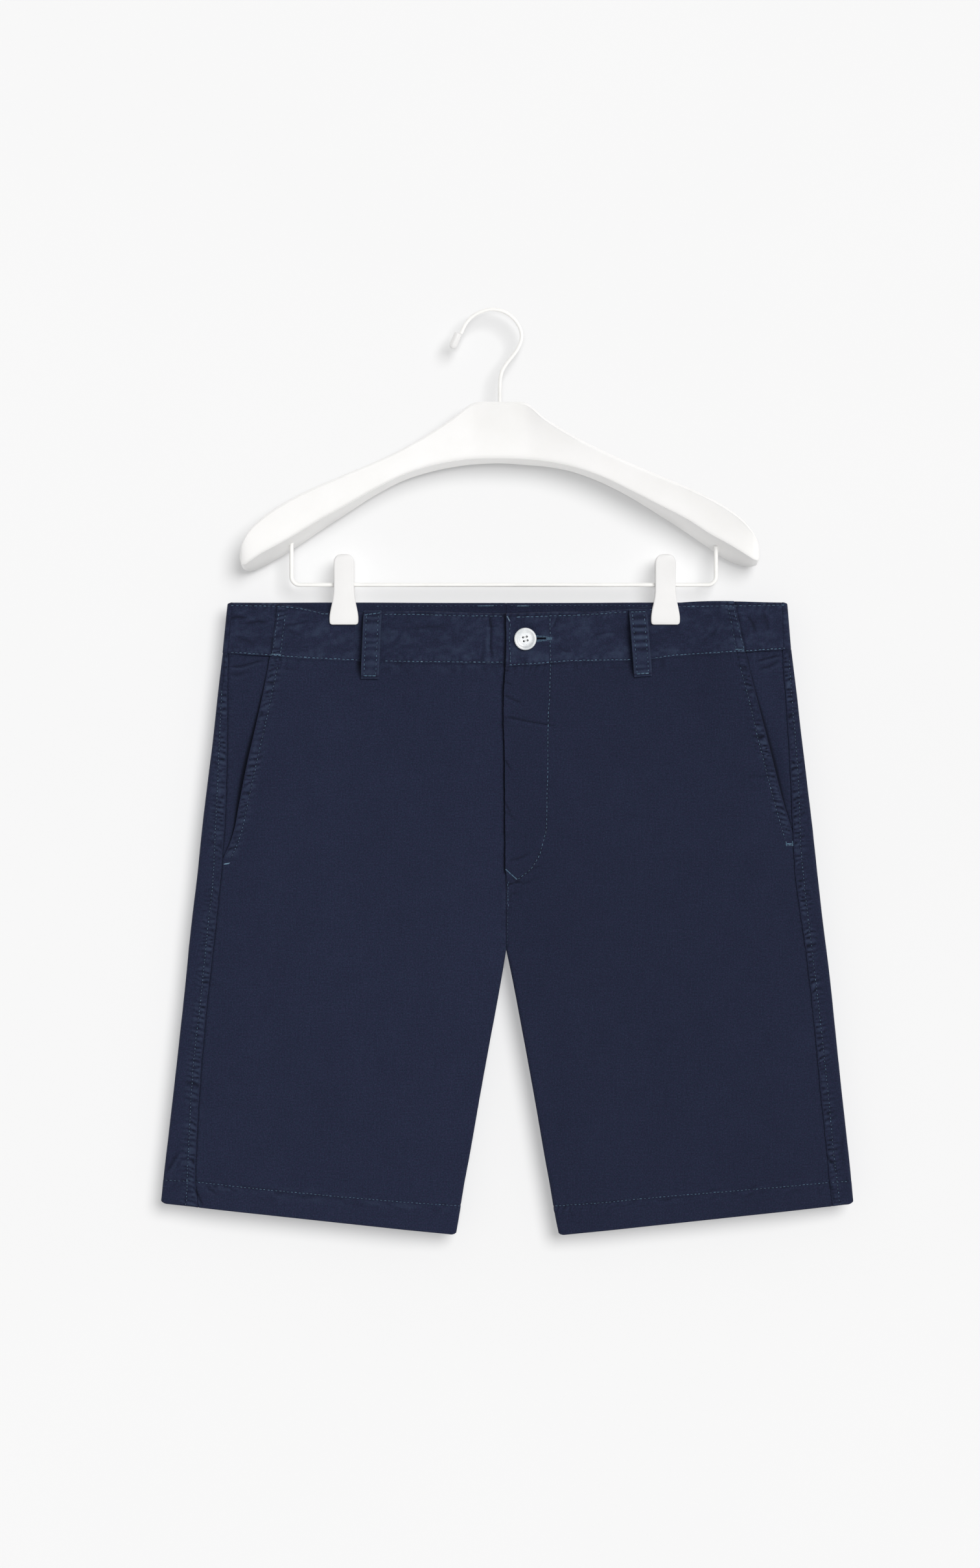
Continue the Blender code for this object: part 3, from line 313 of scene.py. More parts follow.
CREASES_BACK = (
    (((13, -520.0), (-10, -527.0), (-38, -541.0)), 5.0, 0.60, 0.4),
    (((13, -522.0), (38, -530.0), (62, -545.0)), 5.0, 0.56, 0.4),
    (((11, -492.0), (-14, -490.0), (-38, -497.0)), 3.6, 0.34, 0.5),
    (((16, -480.0), (34, -478.0), (50, -484.0)), 3.2, 0.30, 0.5),
    (((12, -440.0), (2, -444.0), (-10, -443.0)), 1.8, 0.26, 0.5),
    (((15, -402.0), (24, -407.0), (34, -406.0)), 1.7, 0.26, 0.5),
    (((12, -352.0), (3, -355.0)), 1.3, 0.26, 0.6),
    (((15, -330.0), (23, -334.0), (31, -333.0)), 1.4, 0.26, 0.6),
    (((-112, -300.0), (-122, -305.0), (-134, -304.0)), 2.0, 0.26, 0.5),
    (((-86, -300.0), (-76, -304.0)), 1.8, 0.24, 0.5),
    (((110, -300.0), (98, -305.0), (88, -304.0)), 2.0, 0.26, 0.5),
    (((136, -301.0), (148, -304.0)), 1.8, 0.24, 0.5),
    (((-205, -290.0), (-196, -296.0), (-184, -297.0)), 1.6, 0.32, 0.6),
    (((232, -290.0), (222, -296.0), (210, -296.0)), 1.6, 0.32, 0.6),
    (((-226, -352.0), (-214, -358.0), (-203, -357.0)), 2.2, 0.26, 0.5),
    (((254, -372.0), (243, -379.0), (232, -378.0)), 2.2, 0.26, 0.5),
    (((-268, -722.0), (-262, -711.0)), 1.4, 0.36, 0.6),
    (((298, -722.0), (292, -712.0)), 1.4, 0.36, 0.6),
    (((-236, -744.0), (-231, -756.0)), 1.1, 0.30, 0.6),
    (((262, -744.0), (258, -756.0)), 1.1, 0.30, 0.6),
    (((-36, -744.0), (-33, -760.0)), 1.1, 0.30, 0.6),
    (((66, -744.0), (69, -760.0)), 1.1, 0.30, 0.6),
    (((-150, -360.0), (-140, -410.0), (-146, -460.0)), 11.0, 0.50, 0.3),
    (((170, -360.0), (162, -415.0), (168, -470.0)), 11.0, 0.50, 0.3),
    (((-60, -340.0), (-66, -390.0), (-58, -440.0)), 11.0, 0.44, -0.3),
    (((84, -340.0), (92, -395.0), (84, -445.0)), 11.0, 0.44, -0.3),
    (((-190, -560.0), (-180, -630.0), (-186, -700.0)), 11.0, 0.50, 0.3),
    (((-104, -575.0), (-98, -650.0), (-104, -715.0)), 12.0, 0.52, -0.3),
    (((224, -555.0), (216, -630.0), (222, -700.0)), 11.0, 0.50, 0.3),
    (((132, -575.0), (138, -650.0), (134, -715.0)), 12.0, 0.52, -0.3),
)

# Small maths ----------------------------------------------------------------


def smooth(t):
    t = np.clip(t, 0.0, 1.0)
    return t * t * (3.0 - 2.0 * t)


def mix(a, b, t):
    return a + (b - a) * t


def curve(rows, at):
    """A smooth line through (where, value) rows, level beyond its ends."""
    rows = np.array(sorted(rows))
    x, y = rows[:, 0], rows[:, 1]
    at = np.clip(np.asarray(at, float), x[0], x[-1])
    step = np.diff(x)
    rise = np.diff(y) / step
    slope = np.empty(len(x))
    slope[0], slope[-1] = rise[0], rise[-1]
    slope[1:-1] = (rise[:-1] * step[1:] + rise[1:] * step[:-1]) / (step[:-1] + step[1:])
    i = np.clip(np.searchsorted(x, at, side="right") - 1, 0, len(x) - 2)
    h = step[i]
    t = (at - x[i]) / h
    return (
        (2 * t**3 - 3 * t**2 + 1) * y[i] + (t**3 - 2 * t**2 + t) * h * slope[i]
        + (3 * t**2 - 2 * t**3) * y[i + 1] + (t**3 - t**2) * h * slope[i + 1]
    )


def flip(rows):
    return tuple((b, a) for a, b in rows)


LATTICE = {}


def noise(seed, a, b=0.0):
    """Smooth noise from -1 to 1 over a plane, with cells one unit wide."""
    if seed not in LATTICE:
        LATTICE[seed] = np.random.RandomState(seed).uniform(-1.0, 1.0, (64, 64))
    g = LATTICE[seed]
    a, b = np.broadcast_arrays(np.asarray(a, float), np.asarray(b, float))
    ia, ib = np.floor(a).astype(int), np.floor(b).astype(int)
    ta, tb = a - ia, b - ib
    ta, tb = ta**3 * (ta * (6 * ta - 15) + 10), tb**3 * (tb * (6 * tb - 15) + 10)
    at = lambda i, j: g[(ia + i) % 64, (ib + j) % 64]
    return mix(mix(at(0, 0), at(1, 0), ta), mix(at(0, 1), at(1, 1), ta), tb)


def near(points, x, z):
    """Signed distance to a line of (x, z) points, and how far along it, 0 to 1."""
    pts = np.array(points, float)
    best, signed, along = np.full(np.shape(x), 1e9), np.zeros(np.shape(x)), np.zeros(np.shape(x))
    lengths = np.hypot(*np.diff(pts, axis=0).T)
    total, run = lengths.sum(), 0.0
    for (ax, az), (bx, bz), length in zip(pts, pts[1:], lengths):
        dx, dz = (bx - ax) / length, (bz - az) / length
        s = np.clip((x - ax) * dx + (z - az) * dz, 0.0, length)
        ox, oz = x - ax - s * dx, z - az - s * dz
        d = np.hypot(ox, oz)
        closer = d < best
        best = np.where(closer, d, best)
        signed = np.where(closer, d * np.sign(ox * dz - oz * dx), signed)
        along = np.where(closer, (run + s) / total, along)
        run += length
    return signed, along


# The form of the garment ------------------------------------------------------


def rows_at(side, v):
    """The leg table's columns at section numbers v, on a smooth curve."""
    table = LEG[side]
    v = np.asarray(v, float)
    i = np.clip(np.floor(v).astype(int), 0, len(table) - 2)
    t = (v - i)[..., None]
    a, b = table[i], table[i + 1]
    before, after = table[np.maximum(i - 1, 0)], table[np.minimum(i + 2, len(table) - 1)]
    before = np.where((i == CROTCH)[..., None], 2 * a - b, before)
    after = np.where((i == CROTCH - 1)[..., None], 2 * b - a, after)
    values = 0.5 * (2 * a + (b - before) * t + (2 * before - 5 * a + 4 * b - after) * t**2 + (3 * a - before - 3 * b + after) * t**3)
    return {name: values[..., k] for k, name in enumerate(COLUMNS)}


def arc(d):
    q = np.clip(d / FOLD, 0.0, 1.0)
    return np.sqrt(1.0 - (1.0 - q) ** 2)


def pinch(x, drop):
    """1 in free cloth, 0 where a clip holds the waistband."""
    held = np.zeros(np.broadcast(x, drop).shape)
    for clip in CLIP_X:
        away = np.maximum(0.0, np.abs(x - clip) - PINCH_FLAT) / PINCH_REACH
        held = np.maximum(held, np.exp(-away * away))
    below = np.maximum(0.0, drop - 25.0) / PINCH_DROP
    return 1.0 - held * np.exp(-below * below)


def half_gap(bulge, x, z, outer, inner, above_fork, centre_share):
    from_outer, from_inner = np.abs(x - outer), np.abs(inner - x)
    full = FOLD + (bulge - FOLD) * smooth(from_outer / 60.0) * mix(smooth(from_inner / 50.0), 1.0, centre_share)
    full = PINCH + (full - PINCH) * pinch(x, BACK_TOP_Z - z)
    return full * arc(from_outer) * mix(arc(from_inner), 1.0, above_fork)


def edges(side, v):
    """Mid-cloth x of the outer fold and of the centre or inner fold."""
    row = rows_at(side, v)
    share = smooth((row["front_z"] - LEG[side][CROTCH][1] + 2.5) / 5.0)
    outer = row["outer_x"] - SIGN[side] * CLOTH / 2
    inner = row["inner_x"] + SIGN[side] * mix(CLOTH / 2 + SEAM - 0.4, SEAM / 2, share * share)
    return row, outer, inner


def leg_point(side, v, x, face, out=0.0):
    """Points of the leg at sections v and widths x, moved out by so much."""
    row, outer, inner = edges(side, v)
    u = (x - outer) / (inner - outer)
    z = mix(row["outer_z"], row["front_z" if face == "front" else "back_z"], u)
    if face == "front":
        top = LEG[side][0]
        z = z + (curve(WAIST_SEAM[side], x) - mix(top[0], top[1], u)) * (1.0 - smooth(np.asarray(v) / 3.0))
    # the hem's two corners are a little rounded
    low = smooth((np.asarray(v) - 16.35) / 0.65)
    corner = np.maximum(1.0 - np.abs(x - outer) / 4.2, 0.0) ** 2 + np.maximum(1.0 - np.abs(x - inner) / 4.2, 0.0) ** 2
    z = z + 1.5 * low * corner
    crotch_z = LEG[side][CROTCH][1]
    gap = half_gap(row["bulge"], x, z, outer, inner, smooth((z - crotch_z) / 14.0), smooth((z - crotch_z) / 150.0))
    y = np.maximum(gap, SEAM) + out
    return np.stack(np.broadcast_arrays(x, -y if face == "front" else y, z), -1)


def solve_v(side, x, z, face):
    """Section numbers of points given by x and z."""
    low, high = np.zeros(np.shape(x)), np.full(np.shape(x), 17.0)
    for _ in range(26):
        mid = 0.5 * (low + high)
        above = leg_point(side, mid, x, face)[..., 2] > z
        low, high = np.where(above, mid, low), np.where(above, high, mid)
    return 0.5 * (low + high)


def lift(x):
    """How much of the flap's lift is left at x."""
    return 1.0 - smooth((x - FLAP_FALL[0]) / (FLAP_FALL[1] - FLAP_FALL[0]))


def fly(z):
    return 1.0 - smooth((FLY_END_Z - z) / 6.0)


FLAP_WANDER = ((-470.0, 0.9), (-440.0, 0.7), (-368.0, 0.1), (-336.0, -0.7), (-315.0, -0.2), (-299.0, 0.7), (-290.0, 1.1), (-250.0, 1.2))


def flap_x(z):
    """The edge of the flap, which wanders a little down the front."""
    return FLAP_X + curve(FLAP_WANDER, z) + 0.14 * noise(26, z / 4.0) + 0.10 * noise(27, z / 1.7)


SECTION_V = np.linspace(0.0, 17.0, 400)
SEAM_LINE = {}
for side in SIDES:
    line_x = rows_at(side, SECTION_V)["seam_x"]
    line_z = leg_point(side, SECTION_V, line_x, "front")[..., 2]
    SEAM_LINE[side] = (line_z[::-1], line_x[::-1])


def seam_x(side, z):
    """The side seam's x at a height on the front, a little uneven as sewn cloth is."""
    return np.interp(z, *SEAM_LINE[side]) + 0.20 * noise(21, z / 5.5, SIGN[side]) + 0.12 * noise(22, z / 2.1, SIGN[side])


def tucked(d, depth=0.95, reach=1.9):
    """The drop of an edge that runs on under its neighbour; d in from the seam."""
    return -depth * (1.0 - smooth((d + 0.4) / reach))


def pocket_x(side, z):
    return curve(POCKET_EDGE[side], z)


# Relief: what stands out of or sinks into the plain form -----------------------


def field(x, z):
    """Slow unevenness of the cloth."""
    return 0.42 * noise(11, x / 64.0, z / 118.0) + 0.17 * noise(12, x / 23.0 + 5, z / 44.0) + 0.045 * noise(13, x / 7.5, z / 9.0)


def puckers(s, d, stitch, depth, seed, pitch=4.7, lean=0.22, reach=5.0):
    """Short ridges across a sewn edge: s along it, d in from its edge, the thread at d = stitch."""
    stitch = np.maximum(stitch, 0.1)
    run = (s + lean * d) / pitch
    phase = run + 0.68 * noise(seed, run * 0.45) + 0.26 * noise(seed + 1, run * 1.3, d / 6.0)
    wave = 2.0 * np.abs(np.sin(math.pi * phase)) ** 0.75 - 1.25
    wave = wave * np.clip(0.82 + 0.66 * noise(seed + 2, run * 0.33), 0.25, 1.35) + 0.35 * noise(seed + 3, run * 1.9, d / 3.0)
    inside = smooth(d / (0.32 * stitch)) * (1.0 - 0.55 * np.exp(-(((d - stitch) / 0.8) ** 2))) * (1.0 - smooth((d - stitch) / reach))
    inside = inside * np.where(d > stitch, 0.72, 1.0)
    return depth * wave * inside


def groove(d, at, depth=0.22, width=0.5):
    return -depth * np.exp(-(((d - at) / width) ** 2))


def ditch(d, depth=0.3, width=0.6):
    """The roll of a sewn edge down into its seam; d from the seam."""
    return -depth * np.exp(-((np.maximum(d, 0.0) / width) ** 1.6))


def wear_and_trough_shade(fine):
    """The colour mark from the fine heights: ridges rubbed pale by abrasion, and troughs darkened, which is painted
    shade.
    """
    return np.where(fine > 0.0, fine / 0.80, fine / 0.46)


def creases(listed, x, z):
    """Heights of the creases listed one by one, and the share of them that also goes into the colour: paler lips from
    abrasion and painted shade in the troughs.
    """
    total, worn_and_shaded = np.zeros(np.shape(x)), np.zeros(np.shape(x))
    for points, width, depth, flank in listed:
        pts = np.array(points, float)
        margin = 4.5 * width
        inside = (x > pts[:, 0].min() - margin) & (x < pts[:, 0].max() + margin) & (z > pts[:, 1].min() - margin) & (z < pts[:, 1].max() + margin)
        if not inside.any():
            continue
        d, along = near(points, x[inside], z[inside])
        taper = smooth(along / 0.2) * smooth((1.0 - along) / 0.3)
        share = max(0.0, min(0.5, 1.0 - 0.35 * width))
        width = width * mix(0.7, 1.15, noise(31, along * 3.0, pts[0, 0] / 9.0) * 0.5 + 0.5)
        shape = -np.exp(-((d / width) ** 2)) + 0.62 * abs(flank) * np.exp(-(((d - np.sign(flank) * 1.9 * width) / (1.3 * width)) ** 2))
        total[inside] += depth * taper * shape
        worn_and_shaded[inside] += depth * taper * shape * share
    return total, worn_and_shaded


def gape(side, z):
    """How far the pocket's edge stands away from the cloth behind it, 0 to 1."""
    t = (z - POCKET_END_Z[side]) / (-291.0 - POCKET_END_Z[side])
    return smooth(t / 0.42) * smooth((1.0 - t) / 0.55)


GAPE = {"right": 3.3, "left": 2.4}


def front_relief(side, x, z, part):
    """Height over the plain form of the front, and the share of it that is fine detail, which also carries painted
    shadows by the front belt loops and the flap's edge.
    """
    sign = SIGN[side]
    seam = seam_x(side, z)
    total, fine = creases(CREASES_FRONT, x, z)
    slow = field(x, z) + total - fine
    if part == "strip":
        d = sign * (x - seam)
        stitch = np.abs(curve(flip(SIDE_STITCH[side]), z) - seam)
        stitch = mix(stitch, np.abs(x * 0 + 3.0), smooth((z + 322.0) / 20.0)) if side == "right" else stitch
        fine = fine + puckers(-z, d, stitch, 0.35 if side == "right" else 0.46, 41 if side == "right" else 45, pitch=4.6 if side == "right" else 4.2, reach=8.5)
        fine = fine + groove(d, stitch)
        slow = slow + ditch(d, 0.22, 0.7)
        slow = slow + 0.42 * (1.0 - smooth((d - stitch) / 2.0))
    elif part == "facing":
        d = -sign * (x - seam)
        slow = slow + tucked(d)
        fine = fine + 0.6 * ditch(d, 0.3, 1.1) + puckers(-z, d, 1.6, 0.10, 49, reach=6.0)
        mouth = sign * (x - pocket_x(side, z))
        slow = slow - 1.9 * gape(side, z) * (1.0 - smooth((mouth - 1.0) / 11.0))
    else:
        in_pocket = z > POCKET_END_Z[side]
        at = pocket_x(side, z)
        d_pocket = -sign * (x - at)
        d_seam = -sign * (x - seam)
        stitch = np.abs(curve(flip(POCKET_STITCH[side]), z) - at)
        fade = smooth((z - POCKET_END_Z[side] + 2.0) / 6.0)
        fine = fine + fade * (puckers(-z, d_pocket, stitch, 0.38 if side == "right" else 0.50, 53 if side == "right" else 57, pitch=4.8 if side == "right" else 4.3, reach=6.5) + groove(d_pocket, stitch))
        slow = slow + fade * 0.15 * np.exp(-((d_pocket / 1.1) ** 2))
        slow = slow + (1.0 - fade) * tucked(d_seam)
        fine = fine + (1.0 - fade) * (0.6 * ditch(d_seam, 0.3, 1.1) + puckers(-z, d_seam, 1.5, 0.10, 61, reach=5.0))
        slow = slow + GAPE[side] * gape(side, z) * (1.0 - smooth(d_pocket / 15.0)) * in_pocket
        # under the waistband
        below = curve(WAIST_SEAM[side], x) - z
        slow = slow + ditch(below, 0.3, 0.8)
        fine = fine + 0.25 * ditch(below, 0.3, 1.6) + puckers(x, below, 1.4, 0.22, 65, pitch=6.3, reach=10.0)
        # hem
        _, outer, inner = edges(side, 17.0)
        hem_top = curve(HEM_STITCHES[side], x) - z
        fine = fine + puckers(x, -hem_top + 21.0, 21.0, 0.16, 69, pitch=4.3, lean=-0.5, reach=6.0) * (1.0 - smooth((-hem_top - 7.0) / 2.0)) * smooth((10.0 - hem_top) / 8.0)
        fine = fine + groove(hem_top, 0.0, 0.22)
        slow = slow + 0.12 * smooth(hem_top / 1.2)
        # centre and crotch seam
        if side == "left":
            d_fly, along = near(FLY_STITCH, x, z)
            d_fly = np.abs(d_fly)
            zone = smooth((z + 480.0) / 6.0)
            fine = fine + zone * groove(d_fly, 0.0, 0.22, 0.5)
            fine = fine + zone * 0.07 * noise(71, z / 4.2, x / 7.0) * np.exp(-((d_fly / 3.2) ** 2))
            edge = x - FLAP_X
            fine = fine + fly(z) * (0.09 * noise(72, z / 6.0, x / 5.0) * np.exp(-((edge / 5.0) ** 2)))
            slow = slow + fly(z) * 0.75 * np.exp(-((edge / 3.4) ** 2))
        centre = np.abs(x - CENTRE_X)
        below_fly = (1.0 - fly(z)) * smooth((z + 536.0) / 3.0)
        fine = fine + below_fly * (ditch(centre, 0.26, 0.6) + 0.10 * noise(73, z / 3.2, x / 4.0) * np.exp(-((centre / 4.5) ** 2)))
        # painted shadow on the panel just left of each front belt loop, where the loop's shadow falls
        for name, (top_x, low_x, top_z, low_z, at_face) in LOOPS.items():
            if at_face == "front":
                left = low_x - LOOP_WIDTH / 2
                fine = fine - 0.55 * np.exp(-(((left - x - 0.5) / 1.5) ** 2)) * smooth((z - low_z) / 3.0)
        if side == "right":
            # cloth behind the flap's edge sinks, and a painted shadow darkens a strip just left of the edge
            slow = slow - fly(z) * 0.7 * np.exp(-(((x - FLAP_X) / 3.4) ** 2))
            fine = fine - fly(z) * 0.6 * (1.0 - smooth((flap_x(z) - 0.1 - x) / mix(1.9, 2.6, smooth((z + 340.0) / 40.0)) / (1.0 + 0.2 * noise(28, z / 5.0))))
    if part != "panel":
        below = curve(WAIST_SEAM[side], x) - z
        slow = slow + ditch(below, 0.3, 0.8)
        fine = fine + 0.25 * ditch(below, 0.3, 1.6) + puckers(x, below, 1.4, 0.20, 66, pitch=5.6, reach=8.0)
        hem_top = curve(HEM_STITCHES[side], x) - z
        fine = fine + groove(hem_top, 0.0, 0.20) + 0.12 * noise(74, x / 2.4, z / 6.0) * np.exp(-((hem_top / 5.0) ** 2))
    calm = smooth(pinch(x, BACK_TOP_Z - z) * 1.4)
    return slow * calm, fine


def mirrored(side, x, z, outer):
    """x carried on round the outer fold, so that the unevenness runs on from front to back."""
    far = smooth(np.abs(x - outer) / 70.0)
    return mix(field(2 * outer - x, z), field(x + 900.0, z), far)


BACK_HEM = {side: (rows_at(side, 16.0)) for side in SIDES}


def back_hem_z(side, x):
    row, outer, inner = edges(side, 16.0)
    return mix(row["outer_z"], row["back_z"], (x - outer) / (inner - outer))


def back_relief(side, x, z, outer, inner):
    from_outer, from_inner = np.abs(x - outer), np.abs(x - inner)
    slow = mirrored(side, x, z, outer) * smooth((from_inner - 1.0) / 12.0)
    total, worn_and_shaded = creases(CREASES_BACK, x, z)
    fine = worn_and_shaded * smooth(from_outer / 4.0)
    slow = slow + (total - worn_and_shaded) * smooth(from_outer / 4.0)
    above_fork = smooth((z + 536.0) / 3.0)
    # centre back seam, felled to the right with two rows of stitches
    if side == "right":
        fine = fine + above_fork * (puckers(-z, from_inner, 6.4, 0.24, 81) + groove(from_inner, 1.4, 0.12) + groove(from_inner, 6.4) + ditch(from_inner, 0.32, 0.6))
        slow = slow + above_fork * 0.4 * (1.0 - smooth((from_inner - 6.6) / 2.0))
    else:
        fine = fine + above_fork * (ditch(from_inner, 0.32, 0.6) + puckers(-z, from_inner, 1.4, 0.12, 82, reach=6.0))
    fine = fine + (1.0 - above_fork) * 0.10 * noise(83, z / 2.9, x / 5.0) * np.exp(-((from_inner / 4.0) ** 2))
    below = -284.3 - z
    fine = fine + (0.5 * ditch(below, 0.3, 1.0) + puckers(x, below, 1.4, 0.20, 84, pitch=6.0, reach=9.0)) * smooth(from_outer / 3.0)
    hem_top = back_hem_z(side, x) - z
    fine = fine + (puckers(x, 21.0 - hem_top, 21.0, 0.12, 85, pitch=4.4, lean=0.5, reach=6.0) * smooth((10.0 - hem_top) / 8.0)) * smooth(from_outer / 3.0)
    fine = fine + groove(hem_top, 0.0, 0.22)
    slow = slow + 0.12 * smooth(hem_top / 1.2)
    calm = smooth(pinch(x, BACK_TOP_Z - z) * 1.4)
    return slow * calm, fine


def band_relief(side, x, z, t, face):
    low, high = band_edges(side, x, face)
    from_low, from_top = z - low, high - z
    slow = 0.5 * (field(x, z) if face == "front" else field(x + 900.0, z))
    fine = puckers(x, from_low, 1.2, 0.16, 91, pitch=5.4, reach=7.0) + groove(from_low, 1.2, 0.26)
    fine = fine + groove(from_top, 2.4, 0.26) + puckers(x, from_top, 2.4, 0.20, 92, pitch=5.9, lean=0.5, reach=6.5)
    slow = slow + ditch(from_low, 0.35, 0.7)
    if face == "front":
        total, worn_and_shaded = creases(CREASES_FRONT, x, z)
        fine, slow = fine + worn_and_shaded, slow + total - worn_and_shaded
        at = mix(BAND_POCKET_X[side][0], BAND_POCKET_X[side][1], t)
        d = -SIGN[side] * (x - at)
        stitch = 7.2 if side == "right" else 6.0
        body = puckers(-z, d, stitch, 0.36, 93, pitch=4.9) + groove(d, stitch) + groove(d, 1.0, 0.10) + 0.1 * np.exp(-((d / 1.0) ** 2))
        side_piece = ditch(-d, 0.34, 1.5) + puckers(-z, -d, 1.4, 0.10, 94, reach=5.0)
        fine = fine + np.where(d > 0.3, body, side_piece)
        slow = slow + np.where(d > 0.3, 0.4 * (1.0 - smooth((d - stitch) / 2.0)), tucked(-d, 0.5, 1.6))
        # painted shadow on the band just left of each front belt loop, where the loop's shadow falls
        for name, (top_x, low_x, top_z, low_z, at_face) in LOOPS.items():
            if at_face == "front":
                left = mix(low_x, top_x, (z - low_z) / (top_z - low_z)) - LOOP_WIDTH / 2
                fine = fine - 0.55 * np.exp(-(((left - x - 0.7 - 0.4 * noise(30, z / 5.0)) / 1.7) ** 2)) * smooth((top_z - z) / 4.0)
        # on the right front the band sinks behind the flap's edge, and a painted shadow darkens a strip just left of it
        if side == "right":
            slow = slow - 0.5 * np.exp(-(((x - FLAP_X) / 3.4) ** 2))
            fine = fine - 0.65 * (1.0 - smooth((flap_x(z) - 0.1 - x) / (3.0 + 0.6 * noise(29, z / 6.0)))) * smooth((x - FLAP_X + 8.0) / 4.0)
        if side == "left":
            edge = x - FLAP_X
            slow = slow + 0.5 * np.exp(-((edge / 3.0) ** 2))
            fine = fine + groove(np.abs(edge), 4.2, 0.22) + 0.08 * noise(95, z / 4.0, x / 5.0) * np.exp(-((edge / 6.0) ** 2)) + groove(np.abs(x - 50.0), 0.0, 0.2)
            hole_d, _ = near(((33.0, BUTTON_AT[1] + 0.4), (50.0, BUTTON_AT[1] + 0.4)), x, z)
            fine = fine + 0.22 * np.exp(-(((np.abs(hole_d) - 1.6) / 1.1) ** 2))
    else:
        d = np.abs(x - CENTRE_X)
        fine = fine + ditch(d, 0.3, 0.6) + groove(d, 1.6, 0.1) + 0.1 * noise(96, z / 3.2, x / 4.0) * np.exp(-((d / 6.0) ** 2))
    calm = smooth(pinch(x, BACK_TOP_Z - z) * 1.3)
    fine = fine * mix(0.35, 1.0, calm)
    return slow * calm, fine


def faded(x, z):
    """Patches where the waistband's dye has washed out."""
    near_seams = 0.12 * np.exp(-(((z + 288.0) / 7.0) ** 2))
    return 0.0 + near_seams + 0.13 * noise(98, x / 9.0, z / 6.0) + 0.15 * noise(99, x / 3.4, z / 2.6) + 0.07 * noise(97, x / 28.0, z / 15.0)


def band_edges(side, x, face):
    if face == "front":
        return curve(WAIST_SEAM[side], x) + SEAM, curve(FRONT_TOP[side], x)
    table = LEG[side][0]
    outer = BAND_FOLD_X[side][1] - SIGN[side] * BAND / 2
    low = mix(table[0], table[2], (x - outer) / (CENTRE_X - outer)) + SEAM
    return low, np.full(np.shape(low), BACK_TOP_Z)


def band_point(side, x, t, face, out=0.0):
    sign = SIGN[side]
    outer = mix(BAND_FOLD_X[side][1], BAND_FOLD_X[side][0], t) - sign * BAND / 2
    if face == "front":
        low, top = curve(WAIST_SEAM[side], x), curve(FRONT_TOP[side], x)
    else:
        low = mix(LEG[side][0][0], LEG[side][0][2], (x - outer) / (CENTRE_X - outer))
        top = np.full(np.shape(low), BACK_TOP_Z)
    z = mix(low + SEAM, top, t)
    gap = half_gap(LEG[side][0][6], x, z, outer, CENTRE_X, 1.0, 1.0)
    z = z - 1.0 * np.maximum(1.0 - np.abs(x - outer) / 3.0, 0.0) ** 2 * smooth((t - 0.85) / 0.15)
    y = gap + out
    return np.stack(np.broadcast_arrays(x, -y if face == "front" else y, z), -1)


# Meshes -----------------------------------------------------------------------


def normals(points, facing, where):
    """Unit normals of a grid of points. `facing` is the y sign they have at the grid place `where`."""
    down, across = np.gradient(points, axis=0), np.gradient(points, axis=1)
    n = np.cross(across, down)
    n /= np.maximum(np.linalg.norm(n, axis=-1, keepdims=True), 1e-9)
    if n[where][1] * facing < 0:
        n = -n
    return n


def link(name, mesh, looks):
    made = bpy.data.objects.new(name, mesh)
    scene.collection.objects.link(made)
    mesh.materials.append(looks)
    return made


def build(name, verts, faces, looks, sharp=None, layers=None):
    mesh = bpy.data.meshes.new(name)
    mesh.from_pydata((np.asarray(verts) * MM).tolist(), [], faces)
    mesh.update()
    bm = bmesh.new()
    bm.from_mesh(mesh)
    bmesh.ops.recalc_face_normals(bm, faces=bm.faces)
    bm.to_mesh(mesh)
    bm.free()
    mesh.shade_smooth()
    if sharp is not None:
        mesh.set_sharp_from_angle(angle=math.radians(sharp))
    for key, values in (layers or {}).items():
        values = np.asarray(values, np.float32)
        kind = "FLOAT" if values.ndim == 1 else "FLOAT_VECTOR"
        mesh.attributes.new(key, kind, "POINT").data.foreach_set("value" if kind == "FLOAT" else "vector", values.ravel())
    return link(name, mesh, looks)


